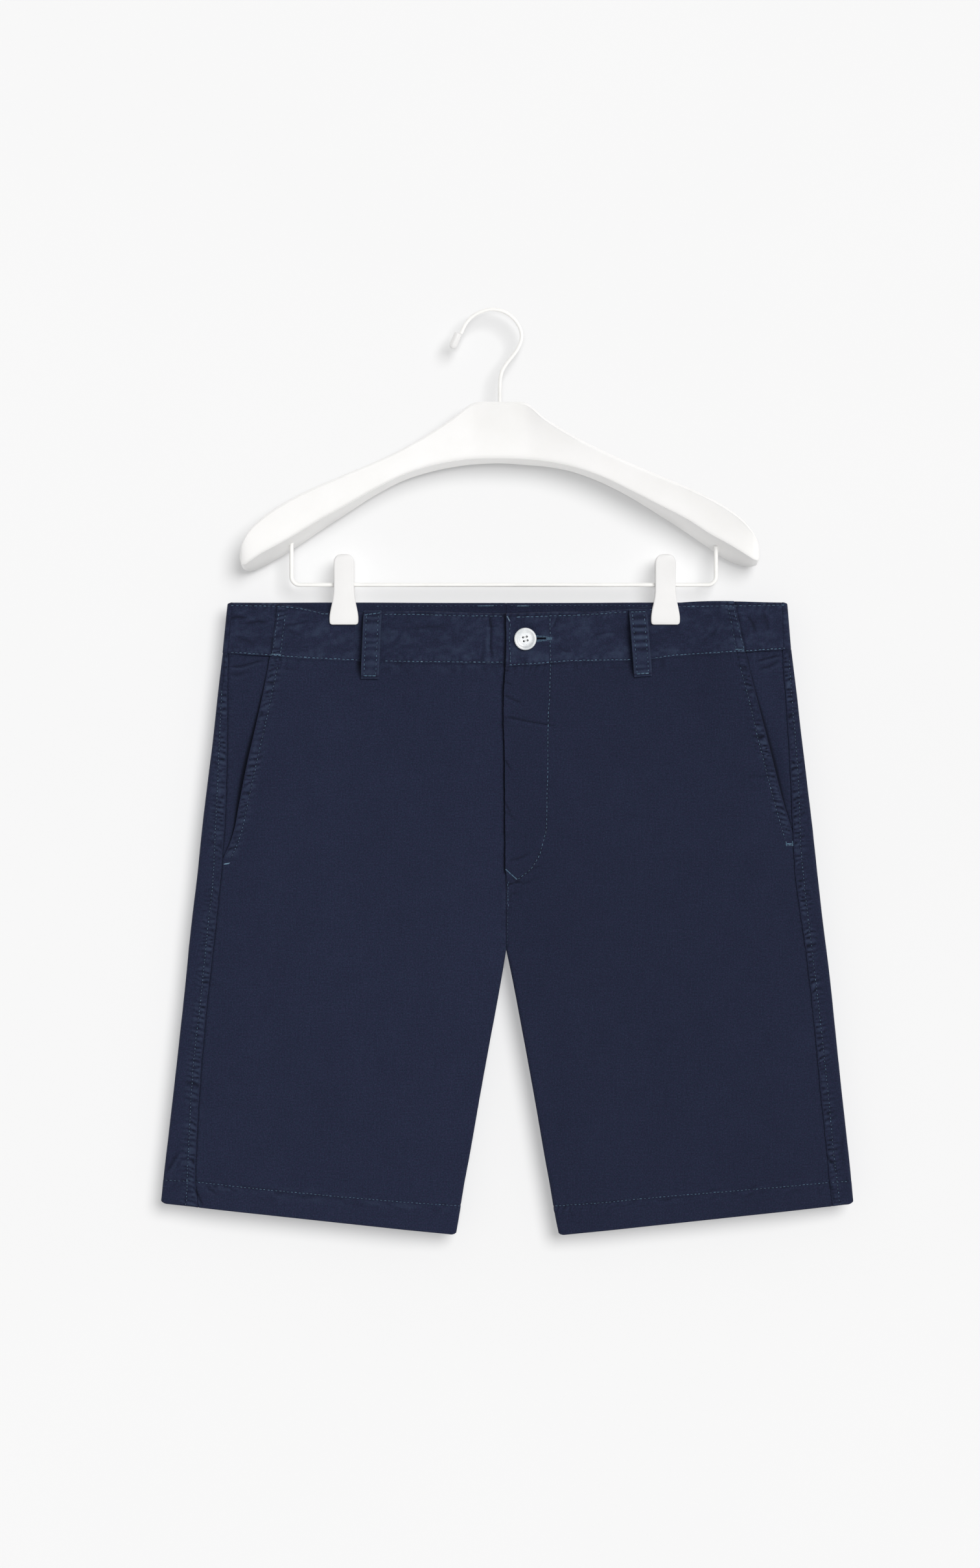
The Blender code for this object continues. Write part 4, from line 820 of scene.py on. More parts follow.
def shell(name, points, n, thickness, relief, grain, looks, reach=0.35, hole=None):
    """A closed cloth shell on a grid of mid points, with round edges all the way round.

    `hole` is (first row, last row, first column, last column) of quads left out.
    """
    rows, cols = points.shape[:2]
    half = thickness / 2
    outer, inner = points + n * half, points - n * half
    index = np.arange(rows * cols).reshape(rows, cols)
    back = index + rows * cols
    faces = []
    keep = np.ones((rows - 1, cols - 1), bool)
    if hole:
        keep[hole[0]:hole[1], hole[2]:hole[3]] = False
    for grid in (index, back):
        quads = np.stack((grid[:-1, :-1], grid[:-1, 1:], grid[1:, 1:], grid[1:, :-1]), -1)[keep]
        faces += quads.tolist()
    # the loop of edge points, in order
    loop = [(0, j) for j in range(cols)] + [(i, cols - 1) for i in range(1, rows)]
    loop += [(rows - 1, j) for j in range(cols - 2, -1, -1)] + [(i, 0) for i in range(rows - 2, 0, -1)]
    li, lj = np.array(loop).T
    away = np.zeros((len(loop), 3))
    for k, (i, j) in enumerate(loop):
        here = points[i, j]
        if i == 0:
            away[k] += here - points[1, j]
        if i == rows - 1:
            away[k] += here - points[rows - 2, j]
        if j == 0:
            away[k] += here - points[i, 1]
        if j == cols - 1:
            away[k] += here - points[i, cols - 2]
    edge_n = n[li, lj]
    away -= edge_n * np.sum(away * edge_n, -1, keepdims=True)
    away /= np.maximum(np.linalg.norm(away, axis=-1, keepdims=True), 1e-9)
    verts = [outer.reshape(-1, 3), inner.reshape(-1, 3)]
    rings = [index[li, lj]]
    start = 2 * rows * cols
    for angle in (45.0, 90.0, 135.0):
        a = math.radians(angle)
        verts.append(points[li, lj] + edge_n * half * math.cos(a) + away * reach * math.sin(a))
        rings.append(start + np.arange(len(loop)))
        start += len(loop)
    rings.append(back[li, lj])
    for a, b in zip(rings, rings[1:]):
        quads = np.stack((a, np.roll(a, -1), np.roll(b, -1), b), -1)
        faces += quads.tolist()
    if hole:
        i0, i1, j0, j1 = hole
        ring = [(i0, j) for j in range(j0, j1)] + [(i, j1) for i in range(i0, i1)] + [(i1, j) for j in range(j1, j0, -1)] + [(i, j0) for i in range(i1, i0, -1)]
        for (a, b), (c, d) in zip(ring, ring[1:] + ring[:1]):
            faces.append([int(index[a, b]), int(index[c, d]), int(back[c, d]), int(back[a, b])])
    all_wear_and_shade = np.concatenate([relief.ravel(), relief.ravel() * 0.0] + [relief[li, lj] + 0.10 * math.sin(math.radians(a)) for a in (45, 90, 135)])
    all_grain = np.concatenate([grain.reshape(-1, 3), grain.reshape(-1, 3)] + [grain[li, lj]] * 3)
    made = build(name, np.concatenate(verts), faces, looks, layers={"relief": all_wear_and_shade, "grain": all_grain * MM})
    if hole:
        tidy = bmesh.new()
        tidy.from_mesh(made.data)
        loose = [v for v in tidy.verts if not v.link_faces]
        bmesh.ops.delete(tidy, geom=loose, context="VERTS")
        tidy.to_mesh(made.data)
        tidy.free()
    return made


def grid_area(points):
    """Area of a grid of points in square metres."""
    a, b = points[1:, :-1] - points[:-1, :-1], points[:-1, 1:] - points[:-1, :-1]
    return float(np.linalg.norm(np.cross(a, b), axis=-1).sum()) * MM * MM


def tube(name, path, radius, sides, looks, ends=True):
    """A round tube along a path of points; radius may be a list."""
    path = np.asarray(path, float)
    radius = np.broadcast_to(np.asarray(radius, float), (len(path),))
    tangent = np.gradient(path, axis=0)
    tangent /= np.linalg.norm(tangent, axis=-1, keepdims=True)
    normal = np.zeros_like(path)
    ref = np.array((0.0, 1.0, 0.0)) if abs(tangent[0][1]) < 0.9 else np.array((1.0, 0.0, 0.0))
    for k, t in enumerate(tangent):
        ref = ref - t * ref.dot(t)
        ref /= np.linalg.norm(ref)
        normal[k] = ref
    side = np.cross(tangent, normal)
    angles = np.linspace(0, 2 * math.pi, sides, endpoint=False)
    rings = path[:, None] + radius[:, None, None] * (np.cos(angles)[None, :, None] * normal[:, None] + np.sin(angles)[None, :, None] * side[:, None])
    verts = rings.reshape(-1, 3)
    index = np.arange(len(path) * sides).reshape(len(path), sides)
    quads = np.stack((index[:-1], np.roll(index, -1, 1)[:-1], np.roll(index, -1, 1)[1:], index[1:]), -1).reshape(-1, 4).tolist()
    if ends:
        quads += [index[0].tolist(), index[-1].tolist()]
    return build(name, verts, quads, looks, sharp=50.0)


def through(points, steps):
    """A smooth line through points, with so many steps between each two."""
    pts = np.asarray(points, float)
    line, last = [], len(pts) - 1
    for i in range(last):
        p, q, r, s = pts[max(i - 1, 0)], pts[i], pts[i + 1], pts[min(i + 2, last)]
        for k in range(steps):
            t = k / steps
            line.append(0.5 * (2 * q + (r - p) * t + (2 * p - 5 * q + 4 * r - s) * t * t + (3 * q - p - 3 * r + s) * t**3))
    line.append(pts[-1])
    return np.array(line)


# Materials ----------------------------------------------------------------------


class Nodes:
    """A short way to lay out a material's nodes."""

    def __init__(self, name):
        self.material = bpy.data.materials.new(name)
        self.material.use_nodes = True
        self.tree = self.material.node_tree
        self.shader = self.tree.nodes["Principled BSDF"]

    def add(self, kind, settings=None, **inputs):
        node = self.tree.nodes.new("ShaderNode" + kind)
        for key, value in (settings or {}).items():
            setattr(node, key, value)
        for key, value in inputs.items():
            name = key.replace("_", " ")
            socket = node.inputs[int(name[1:])] if name[0] == "i" and name[1:].isdigit() else node.inputs[name]
            self.set(socket, value)
        return node

    def set(self, socket, value):
        if hasattr(value, "is_output") or isinstance(value, bpy.types.NodeSocket):
            self.tree.links.new(value, socket)
        else:
            socket.default_value = value

    def maths(self, operation, a, b=0.0, clamp=False):
        node = self.add("Math", {"operation": operation, "use_clamp": clamp})
        self.set(node.inputs[0], a)
        self.set(node.inputs[1], b)
        return node.outputs[0]

    def ramp(self, value, stops, interpolation="LINEAR"):
        node = self.add("ValToRGB")
        node.color_ramp.interpolation = interpolation
        while len(node.color_ramp.elements) < len(stops):
            node.color_ramp.elements.new(0.5)
        for element, (at, colour) in zip(node.color_ramp.elements, stops):
            element.position = at
            element.color = (*colour, 1.0) if len(colour) == 3 else colour
        self.set(node.inputs[0], value)
        return node.outputs["Color"]

    def blend(self, share, a, b, kind="MIX"):
        node = self.add("Mix", {"data_type": "RGBA", "blend_type": kind})
        self.set(node.inputs[0], share)
        self.set(node.inputs[6], a)
        self.set(node.inputs[7], b)
        return node.outputs[2]

    def scaled(self, vector, factors):
        node = self.add("VectorMath", {"operation": "MULTIPLY"})
        self.set(node.inputs[0], vector)
        node.inputs[1].default_value = factors
        return node.outputs[0]

    def noise(self, vector, scale, detail=2.0, rough=0.5):
        node = self.add("TexNoise", {"noise_dimensions": "3D"}, Scale=scale, Detail=detail, Roughness=rough)
        self.set(node.inputs["Vector"], vector)
        return node.outputs["Fac"]

    def bump(self, height, distance, strength=1.0, normal=None):
        node = self.add("Bump", Strength=strength, Distance=distance)
        self.set(node.inputs["Height"], height)
        if normal is not None:
            self.set(node.inputs["Normal"], normal)
        return node.outputs["Normal"]

    def finish(self, **values):
        for key, value in values.items():
            self.set(self.shader.inputs[key.replace("_", " ")], value)
        return self.material


def srgb(code):
    """A linear colour from a hex code."""
    parts = [int(code[i:i + 2], 16) / 255.0 for i in (0, 2, 4)]
    return tuple(c / 12.92 if c <= 0.04045 else ((c + 0.055) / 1.055) ** 2.4 for c in parts)


def twill_material():
    m = Nodes("twill")
    grain = m.add("Attribute", {"attribute_name": "grain"}).outputs["Vector"]
    relief = m.add("Attribute", {"attribute_name": "relief"}).outputs["Fac"]
    # yarns: warp runs down, weft across, each of uneven thickness
    warp = m.noise(m.scaled(grain, (2300.0, 190.0, 1.0)), 1.0, 2.0, 0.6)
    weft = m.noise(m.scaled(grain, (170.0, 2100.0, 1.0)), 1.0, 2.0, 0.6)
    slub_warp = m.noise(m.scaled(grain, (760.0, 42.0, 1.0)), 1.0, 2.0, 0.55)
    slub_weft = m.noise(m.scaled(grain, (38.0, 700.0, 1.0)), 1.0, 2.0, 0.55)
    speck = m.noise(m.scaled(grain, (860.0, 760.0, 1.0)), 1.0, 1.5, 0.6)
    drift = m.noise(m.scaled(grain, (420.0, 420.0, 1.0)), 1.0, 2.0, 0.6)
    cloud = m.noise(m.scaled(grain, (1.0, 1.0, 1.0)), 42.0, 4.0, 0.55)
    wide = m.noise(m.scaled(grain, (1.0, 0.7, 1.0)), 9.0, 2.0, 0.5)
    # the twill line, 0.62 mm apart, rising to the right
    turned = m.add("Mapping", Rotation=(0.0, 0.0, math.radians(-28.0)))
    m.set(turned.inputs["Vector"], grain)
    wave = m.add("TexWave", {"wave_type": "BANDS", "bands_direction": "X", "wave_profile": "SIN"}, Scale=0.314 / 0.00062, Distortion=0.9, Detail=2.0)
    wave.inputs["Detail Scale"].default_value = 1.3
    m.set(wave.inputs["Vector"], turned.outputs[0])
    twill = wave.outputs["Fac"]
    tone = m.maths("ADD", m.maths("MULTIPLY", slub_warp, 0.07), m.maths("MULTIPLY", slub_weft, 0.055))
    tone = m.maths("ADD", tone, m.maths("MULTIPLY", warp, 0.09))
    tone = m.maths("ADD", tone, m.maths("MULTIPLY", weft, 0.075))
    tone = m.maths("ADD", tone, m.maths("MULTIPLY", speck, 0.36))
    tone = m.maths("ADD", tone, m.maths("MULTIPLY", cloud, 0.05))
    tone = m.maths("ADD", tone, m.maths("MULTIPLY", wide, 0.04))
    tone = m.maths("ADD", tone, m.maths("MULTIPLY", twill, 0.01))
    body = m.ramp(tone, ((0.235, srgb("141729")), (0.375, srgb("1f2439")), (0.515, srgb("2b3149"))))
    hue = m.ramp(drift, ((0.36, (1.10, 0.96, 1.02)), (0.5, (1.0, 1.0, 1.0)), (0.64, (0.88, 1.04, 0.98))))
    body = m.blend(0.8, body, hue, "MULTIPLY")
    # puckers and edges: rubbed paler on top by abrasion, darker in their troughs as painted shade, and near-black
    # painted shadows by the pocket mouth, the flap's edge and the belt loops
    patchy = m.maths("MULTIPLY_ADD", m.noise(m.scaled(grain, (1.0, 1.0, 1.0)), 260.0, 3.0, 0.6), 0.9)
    patchy.node.inputs[2].default_value = 0.55
    up = m.maths("MULTIPLY", m.maths("MULTIPLY", relief, 1.5, clamp=True), patchy, clamp=True)
    down = m.maths("MULTIPLY", relief, -1.15, clamp=True)
    colour = m.blend(m.maths("MULTIPLY", up, 0.55), body, (*srgb("3e4b61"), 1.0))
    colour = m.blend(m.maths("MULTIPLY", down, 0.8), colour, (*srgb("0c0f1b"), 1.0))
    rough = m.maths("MULTIPLY_ADD", speck, 0.16)
    rough.node.inputs[2].default_value = 0.80
    height = m.maths("ADD", m.maths("MULTIPLY", twill, 0.55), m.maths("MULTIPLY", warp, 0.8))
    height = m.maths("ADD", height, m.maths("MULTIPLY", weft, 0.7))
    fine = m.bump(height, 0.00010, 0.5)
    slow = m.bump(m.maths("ADD", slub_warp, slub_weft), 0.00012, 0.35, fine)
    return m.finish(Base_Color=colour, Roughness=rough, Normal=slow, Specular_IOR_Level=0.12, Sheen_Weight=0.04, Sheen_Roughness=0.5, Sheen_Tint=(0.62, 0.68, 0.86, 1.0))


def thread_material():
    m = Nodes("thread")
    tone = m.add("Attribute", {"attribute_name": "tone"}).outputs["Fac"]
    along = m.add("Attribute", {"attribute_name": "along"}).outputs["Fac"]
    place = m.add("NewGeometry").outputs["Position"]
    fuzz = m.noise(place, 2600.0, 2.0, 0.6)
    colour = m.ramp(m.maths("ADD", tone, m.maths("MULTIPLY", m.maths("SUBTRACT", fuzz, 0.5), 0.22)),
                    ((0.0, srgb("1d2b3d")), (0.35, srgb("30485e")), (0.7, srgb("51718a")), (1.0, srgb("8ea6ba"))))
    ply = m.add("TexWave", {"wave_type": "BANDS", "bands_direction": "X"}, Scale=0.314 * 3.2, Distortion=0.6)
    m.set(ply.inputs["Vector"], m.add("CombineXYZ", X=along).outputs[0])
    bump = m.bump(m.maths("ADD", m.maths("MULTIPLY", ply.outputs["Fac"], 0.7), fuzz), 0.00006, 0.7)
    rough = m.maths("MULTIPLY_ADD", fuzz, 0.2)
    rough.node.inputs[2].default_value = 0.55
    return m.finish(Base_Color=colour, Roughness=rough, Normal=bump, Specular_IOR_Level=0.35, Sheen_Weight=0.15)


def pearl_thread_material():
    m = Nodes("button_thread")
    place = m.add("NewGeometry").outputs["Position"]
    fuzz = m.noise(place, 2800.0, 2.0, 0.6)
    colour = m.ramp(fuzz, ((0.3, srgb("b9bab8")), (0.7, srgb("dcdcd9"))))
    return m.finish(Base_Color=colour, Roughness=m.ramp(fuzz, ((0.0, (0.5,) * 3), (1.0, (0.75,) * 3))), Normal=m.bump(fuzz, 0.00006, 0.7), Specular_IOR_Level=0.35)


def button_material():
    m = Nodes("button")
    place = m.add("NewGeometry").outputs["Position"]
    swirl = m.noise(m.scaled(place, (1.0, 1.0, 0.6)), 170.0, 4.0, 0.6)
    streak = m.noise(m.scaled(place, (0.5, 1.0, 1.4)), 520.0, 3.0, 0.55)
    both = m.maths("ADD", m.maths("MULTIPLY", swirl, 0.7), m.maths("MULTIPLY", streak, 0.3))
    colour = m.ramp(both, ((0.34, srgb("c8cccf")), (0.5, srgb("d9dcde")), (0.66, srgb("e9eaea"))))
    rough = m.ramp(streak, ((0.2, (0.22,) * 3), (0.8, (0.36,) * 3)))
    return m.finish(Base_Color=colour, Roughness=rough, Normal=m.bump(both, 0.00008, 0.3), Specular_IOR_Level=0.5, Coat_Weight=0.25, Coat_Roughness=0.2, Subsurface_Weight=0.0)


def white_material(name, low, high, rough_low, rough_high, scale, bump):
    m = Nodes(name)
    place = m.add("NewGeometry").outputs["Position"]
    soft = m.noise(place, scale, 4.0, 0.55)
    pore = m.noise(place, 1500.0, 3.0, 0.6)
    both = m.maths("ADD", m.maths("MULTIPLY", soft, 0.75), m.maths("MULTIPLY", pore, 0.25))
    colour = m.ramp(both, ((0.35, srgb(low)), (0.65, srgb(high))))
    rough = m.ramp(both, ((0.3, (rough_low,) * 3), (0.7, (rough_high,) * 3)))
    peel = m.bump(m.noise(place, 420.0, 2.0, 0.5), 0.00025, bump)
    return m.finish(Base_Color=colour, Roughness=rough, Normal=m.bump(pore, 0.00003, 0.4, peel), Specular_IOR_Level=0.4)


def steel_material():
    m = Nodes("spring_steel")
    place = m.add("NewGeometry").outputs["Position"]
    brushed = m.noise(m.scaled(place, (1.0, 6.0, 6.0)), 900.0, 3.0, 0.6)
    colour = m.ramp(brushed, ((0.3, srgb("9a9a98")), (0.7, srgb("cfcfcc"))))
    rough = m.ramp(brushed, ((0.2, (0.24,) * 3), (0.8, (0.42,) * 3)))
    return m.finish(Base_Color=colour, Roughness=rough, Metallic=1.0, Normal=m.bump(brushed, 0.00003, 0.4))


TWILL = twill_material()
THREAD = thread_material()
PEARL_THREAD = pearl_thread_material()
PEARL = button_material()
HANGER_WHITE = white_material("hanger_paint", "f3f2f0", "f7f6f5", 0.36, 0.5, 26.0, 0.05)
WIRE_WHITE = white_material("hook_paint", "f4f3f0", "faf9f6", 0.32, 0.46, 60.0, 0.06)
CLIP_WHITE = white_material("clip_plastic", "e6e5e4", "ebeae9", 0.28, 0.42, 40.0, 0.04)
STEEL = steel_material()

# Cloth pieces ----------------------------------------------------------------------

STEP_FOLD = (0.0, 0.18, 0.45, 0.8, 1.2, 1.7, 2.2, 2.7)
TURN_ANGLES = np.radians((0.0, 30.0, 60.0, 90.0, 120.0, 150.0, 180.0))
TURN_RISE = (2.0, 5.0, 8.5, 12.5, 17.0, HEM_TURN)


def section_rows(side, spacing):
    """Section numbers spaced as `spacing` rows (from z, step) ask, measured in mid panel."""
    v = np.linspace(0.02, 17.0, 4000)
    row, outer, inner = edges(side, v)
    z = leg_point(side, v, 0.5 * (outer + inner), "front")[..., 2]
    wanted, at = [], z[0]
    while at > z[-1] + 0.3:
        wanted.append(at)
        at -= np.interp(-at, [-a for a, _ in spacing], [b for _, b in spacing])
    wanted.append(z[-1])
    return np.interp(-np.array(wanted), -z, v)


def with_hem(mid, n, turn=True):
    """Adds the turned-up hem to a grid whose last row is the hem edge."""
    edge, en = mid[-1], n[-1]
    up = mid[-2] - mid[-1]
    up /= np.linalg.norm(up, axis=-1, keepdims=True)
    rows = [mid[:-1], (edge + up * TURN_GAP)[None]]
    for a in TURN_ANGLES[1:]:
        rows.append((edge + up * (TURN_GAP - TURN_GAP * math.sin(a)) - en * TURN_GAP * (1.0 - math.cos(a)))[None])
    inside = mid - n * 2 * TURN_GAP
    height = np.cumsum(np.linalg.norm(np.diff(mid[::-1], axis=0), axis=-1), axis=0)
    for rise in TURN_RISE:
        line = np.empty_like(edge)
        for j in range(mid.shape[1]):
            for k in range(3):
                line[j, k] = np.interp(rise, np.concatenate(((0.0,), height[:, j])), inside[::-1, j, k])
        rows.append(line[None])
    return np.concatenate(rows)


def extend(values, count):
    """Repeats a grid's last row, for what lies inside the turned hem."""
    return np.concatenate([values] + [values[-1:]] * count)


TURN_ROWS = len(TURN_ANGLES) - 1 + len(TURN_RISE)


def front_outer_edge(side, v):
    """x of the front panel's outer edge: the pocket's edge, then the side seam."""
    sign = SIGN[side]
    x = rows_at(side, v)["seam_x"] - sign * 0.42
    for _ in range(12):
        z = leg_point(side, v, x, "front")[..., 2]
        seam = seam_x(side, z) + sign * 0.5 * smooth((POCKET_END_Z[side] + 4.0 - z) / 8.0)
        pocket = pocket_x(side, z)
        x = np.where((z > POCKET_END_Z[side]) & (sign * pocket < sign * seam), pocket, seam)
    return x


FLAP_HELD = lambda z: 1.0 - smooth((FLY_END_Z - 6.0 - z) / 14.0)


def front_out(side, x, z):
    return LAP * lift(x) * FLAP_HELD(z) if side == "left" else np.zeros(np.shape(x))


def front_panel(side):
    sign = SIGN[side]
    v = section_rows(side, ((-290.0, 1.15), (-476.0, 1.15), (-490.0, 2.5), (-728.0, 2.5), (-737.0, 1.05), (-780.0, 1.05)))
    row, outer, inner = edges(side, v)
    start = front_outer_edge(side, v)
    stop = mix(inner + sign * 0.22, UNDER_X if side == "right" else flap_x(row["front_z"]) + 0.35, fly(row["front_z"]))
    near_edge = np.array((0.0, 0.3, 0.7, 1.2, 1.8, 2.5, 3.3, 4.2, 5.1, 6.0, 6.8, 7.5, 8.2, 9.0, 10.0, 11.2, 12.6, 14.4, 17.0, 20.5))
    near_inner = np.array(STEP_FOLD + ((3.4, 4.4, 5.6, 7.2, 9.5, 13.0) if side == "right" else tuple(np.arange(3.6, 44.5, 1.08))))
    begin, end = start - sign * near_edge[-1], stop + sign * near_inner[-1]
    count = 46 if side == "right" else 36
    x = np.concatenate((
        start[:, None] - sign * near_edge[None],
        mix(begin[:, None], end[:, None], np.linspace(0, 1, count + 1)[None, 1:-1]),
        stop[:, None] + sign * near_inner[None, ::-1],
    ), 1)
    v2 = np.broadcast_to(v[:, None], x.shape)
    base = leg_point(side, v2, x, "front")
    base[..., 1] -= front_out(side, x, base[..., 2])
    n = normals(base, -1.0, (len(v) // 2, x.shape[1] // 2))
    slow, fine = front_relief(side, x, base[..., 2], "panel")
    mid = base + n * (0.2 + slow + fine)[..., None]
    n = normals(mid, -1.0, (len(v) // 2, x.shape[1] // 2))
    area = grid_area(mid)
    mid, grain = with_hem(mid, n), extend(np.stack((x, base[..., 2], x * 0), -1), TURN_ROWS)
    grain[len(v):, :, 1] -= np.linspace(0.5, HEM_TURN, TURN_ROWS)[:, None]
    # the wearer's left leg is made a little darker all over
    relief = extend(wear_and_trough_shade(fine) - (0.12 if side == "left" else 0.0), TURN_ROWS)
    relief[len(v):] = 0.0
    # painted shade along the hem's turned fold
    relief[len(v) - 1:len(v) + 4] -= 0.22
    turned = normals(mid, -1.0, (len(v) // 2, x.shape[1] // 2))
    made = shell("front_panel_" + side + "_cloth", mid, turned, PANEL, relief, grain, TWILL)
    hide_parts("front_panel_" + side)
    return made, area


def back_panel(side):
    sign = SIGN[side]
    v = section_rows(side, ((-284.0, 1.35), (-735.0, 1.35), (-745.0, 1.1), (-780.0, 1.1)))
    row, outer, inner = edges(side, v)
    seam = row["seam_x"]
    for _ in range(8):
        seam = seam_x(side, leg_point(side, v, seam, "front")[..., 2]) + sign * 0.2
    near_inner = np.array(STEP_FOLD + (3.6, 4.6, 5.6, 6.6, 7.6, 9.0, 11.0, 14.0, 18.0))
    near_outer = np.array(STEP_FOLD + (3.6, 5.0, 7.0, 10.0, 14.0, 20.0))
    begin, end = inner + sign * near_inner[-1], outer - sign * near_outer[-1]
    back = np.concatenate((
        inner[:, None] + sign * (near_inner + 0.26 * (near_inner < 0.1))[None],
        mix(begin[:, None], end[:, None], np.linspace(0, 1, 31)[None, 1:-1]),
        outer[:, None] - sign * near_outer[None, ::-1],
    ), 1)
    fold = np.array(STEP_FOLD[1:])
    wrap = outer[:, None] - sign * fold[None]
    share = np.concatenate((np.linspace(0, 1, 24)[1:-3], (0.90, 0.94, 0.972, 1.0)))
    strip = mix(wrap[:, -1:], seam[:, None], share[None])
    front = np.concatenate((wrap, strip), 1)
    vb, vf = np.broadcast_to(v[:, None], back.shape), np.broadcast_to(v[:, None], front.shape)
    pb, pf = leg_point(side, vb, back, "back"), leg_point(side, vf, front, "front")
    pb[:, -1, 1] = 0.0
    base = np.concatenate((pb, pf), 1)
    where = (len(v) // 2, 20)
    n = normals(base, 1.0, where)
    ob = np.broadcast_to(outer[:, None], back.shape)
    ib = np.broadcast_to(inner[:, None], back.shape)
    slow_b, fine_b = back_relief(side, back, pb[..., 2], ob, ib)
    slow_f, fine_f = front_relief(side, front, pf[..., 2], "strip")
    # both meet at the fold
    tie = smooth(np.abs(front - outer[:, None]) / 3.0)
    at_fold = slow_b[:, -1:]
    slow_f = mix(at_fold, slow_f, tie)
    fine_f = fine_f * smooth(np.abs(front - outer[:, None]) / 2.0)
    fine_b = fine_b * smooth(np.abs(back - outer[:, None]) / 2.0)
    slow, fine = np.concatenate((slow_b, slow_f), 1), np.concatenate((fine_b, fine_f), 1)
    mid = base + n * (0.2 + slow + fine)[..., None]
    n = normals(mid, 1.0, where)
    area = grid_area(mid)
    flat_x = np.concatenate((back, 2 * outer[:, None] - front), 1)
    grain = extend(np.stack((flat_x + 500.0, base[..., 2], flat_x * 0), -1), TURN_ROWS)
    grain[len(v):, :, 1] -= np.linspace(0.5, HEM_TURN, TURN_ROWS)[:, None]
    # the wearer's left leg is made a little darker all over
    relief = extend(wear_and_trough_shade(fine) - (0.12 if side == "left" else 0.0), TURN_ROWS)
    relief[len(v):] = 0.0
    # painted shade along the hem's turned fold
    relief[len(v) - 1:len(v) + 4] -= 0.22
    mid = with_hem(mid, n)
    turned = normals(mid, 1.0, where)
    made = shell("back_panel_" + side + "_cloth", mid, turned, PANEL, relief, grain, TWILL)
    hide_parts("back_panel_" + side)
    return made, area


def facing_drop(side, x, z):
    """The pocket facing comes level with the side seam and drops under the front panel."""
    seam = seam_x(side, z)
    width = np.clip(SIGN[side] * (seam - pocket_x(side, z)), 1.0, 14.0)
    return LAP * smooth(np.abs(x - seam) / width)


def pocket_facing(side):
    sign = SIGN[side]
    top, low = 0.03, 5.6 if side == "left" else 5.95
    v = np.linspace(top, low, 130)
    row = rows_at(side, v)
    start = row["seam_x"]
    for _ in range(8):
        start = seam_x(side, leg_point(side, v, start, "front")[..., 2]) + sign * 0.5
    stop = start.copy()
    for _ in range(12):
        stop = pocket_x(side, leg_point(side, v, stop, "front")[..., 2])
    stop = stop - sign * FACING_TUCK
    x = mix(start[:, None], stop[:, None], np.concatenate(((0.0, 0.008, 0.02), np.linspace(0.04, 1.0, 34)))[None])
    v2 = np.broadcast_to(v[:, None], x.shape)
    base = leg_point(side, v2, x, "front")
    base[..., 1] += facing_drop(side, x, base[..., 2])
    n = normals(base, -1.0, (60, 15))
    slow, fine = front_relief(side, x, base[..., 2], "facing")
    # painted shadow: the facing darkens towards the pocket's mouth, most where the edge gapes
    from_mouth = np.maximum(sign * (x - pocket_x(side, base[..., 2])), 0.0)
    wide = gape(side, base[..., 2]) * (1.0 if side == "right" else 0.8)
    mouth = 1.0 - smooth((from_mouth - 2.1 * wide) / (1.3 + 2.6 * wide))
    mid = base + n * (0.2 + slow + fine)[..., None]
    n = normals(mid, -1.0, (60, 15))
    made = shell("pocket_facing_" + side + "_cloth", mid, n, PANEL, wear_and_trough_shade(fine) - 1.1 * mouth, np.stack((x + 1200.0, base[..., 2], x * 0), -1), TWILL)
    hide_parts("pocket_facing_" + side)
    return made, grid_area(mid)


def fly_underlap():
    v = np.linspace(0.05, 5.95, 80)
    x = np.broadcast_to(np.linspace(UNDER_X + 0.5, UNDERLAP_X, 16)[None], (80, 16))
    v2 = np.broadcast_to(v[:, None], x.shape)
    base = leg_point("left", v2, x, "front")
    n = normals(base, -1.0, (40, 8))
    fine = 0.08 * noise(75, x / 5.0, base[..., 2] / 7.0)
    mid = base + n * (fine - 0.2)[..., None]
    made = shell("fly_underlap_cloth", mid, n, PANEL, wear_and_trough_shade(fine), np.stack((x + 1500.0, base[..., 2], x * 0), -1), TWILL)
    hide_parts("fly_underlap")
    return made, grid_area(mid)


BAND_T = np.concatenate(((0.0, 0.008, 0.02), np.linspace(0.035, 0.965, 40), (0.985, 1.0)))


def band_height(side, x, face):
    low, top = band_edges(side, x, face)
    return top - low


def inset_t(side, x, t, face, bottom=0.35, top=0.8):
    """t of a band point, its rows drawn in so that the round edges end where the CAD's do."""
    tall = band_height(side, x, face)
    return mix(bottom / tall, 1.0 - top / tall, t)


def band_lift(side, x, face):
    return BAND_LAP * lift(x) if side == "left" and face == "front" else np.zeros(np.shape(x))


def band_piece(name, side, face, x, t, node, facing, where, grain_shift, reach=0.8, hole=None):
    t2 = inset_t(side, x, t, face)
    base = band_point(side, x, t2, face, band_lift(side, x, face))
    n = normals(base, facing, where)
    slow, fine = band_relief(side, x, base[..., 2], t2, face)
    mid = base + n * (slow + fine)[..., None]
    n = normals(mid, facing, where)
    grain = np.stack((x + grain_shift, base[..., 2], x * 0), -1)
    made = shell(name, mid, n, BAND, wear_and_trough_shade(fine) + faded(x, base[..., 2]), grain, TWILL, reach=reach, hole=hole)
    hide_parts(node)
    return made, grid_area(mid)


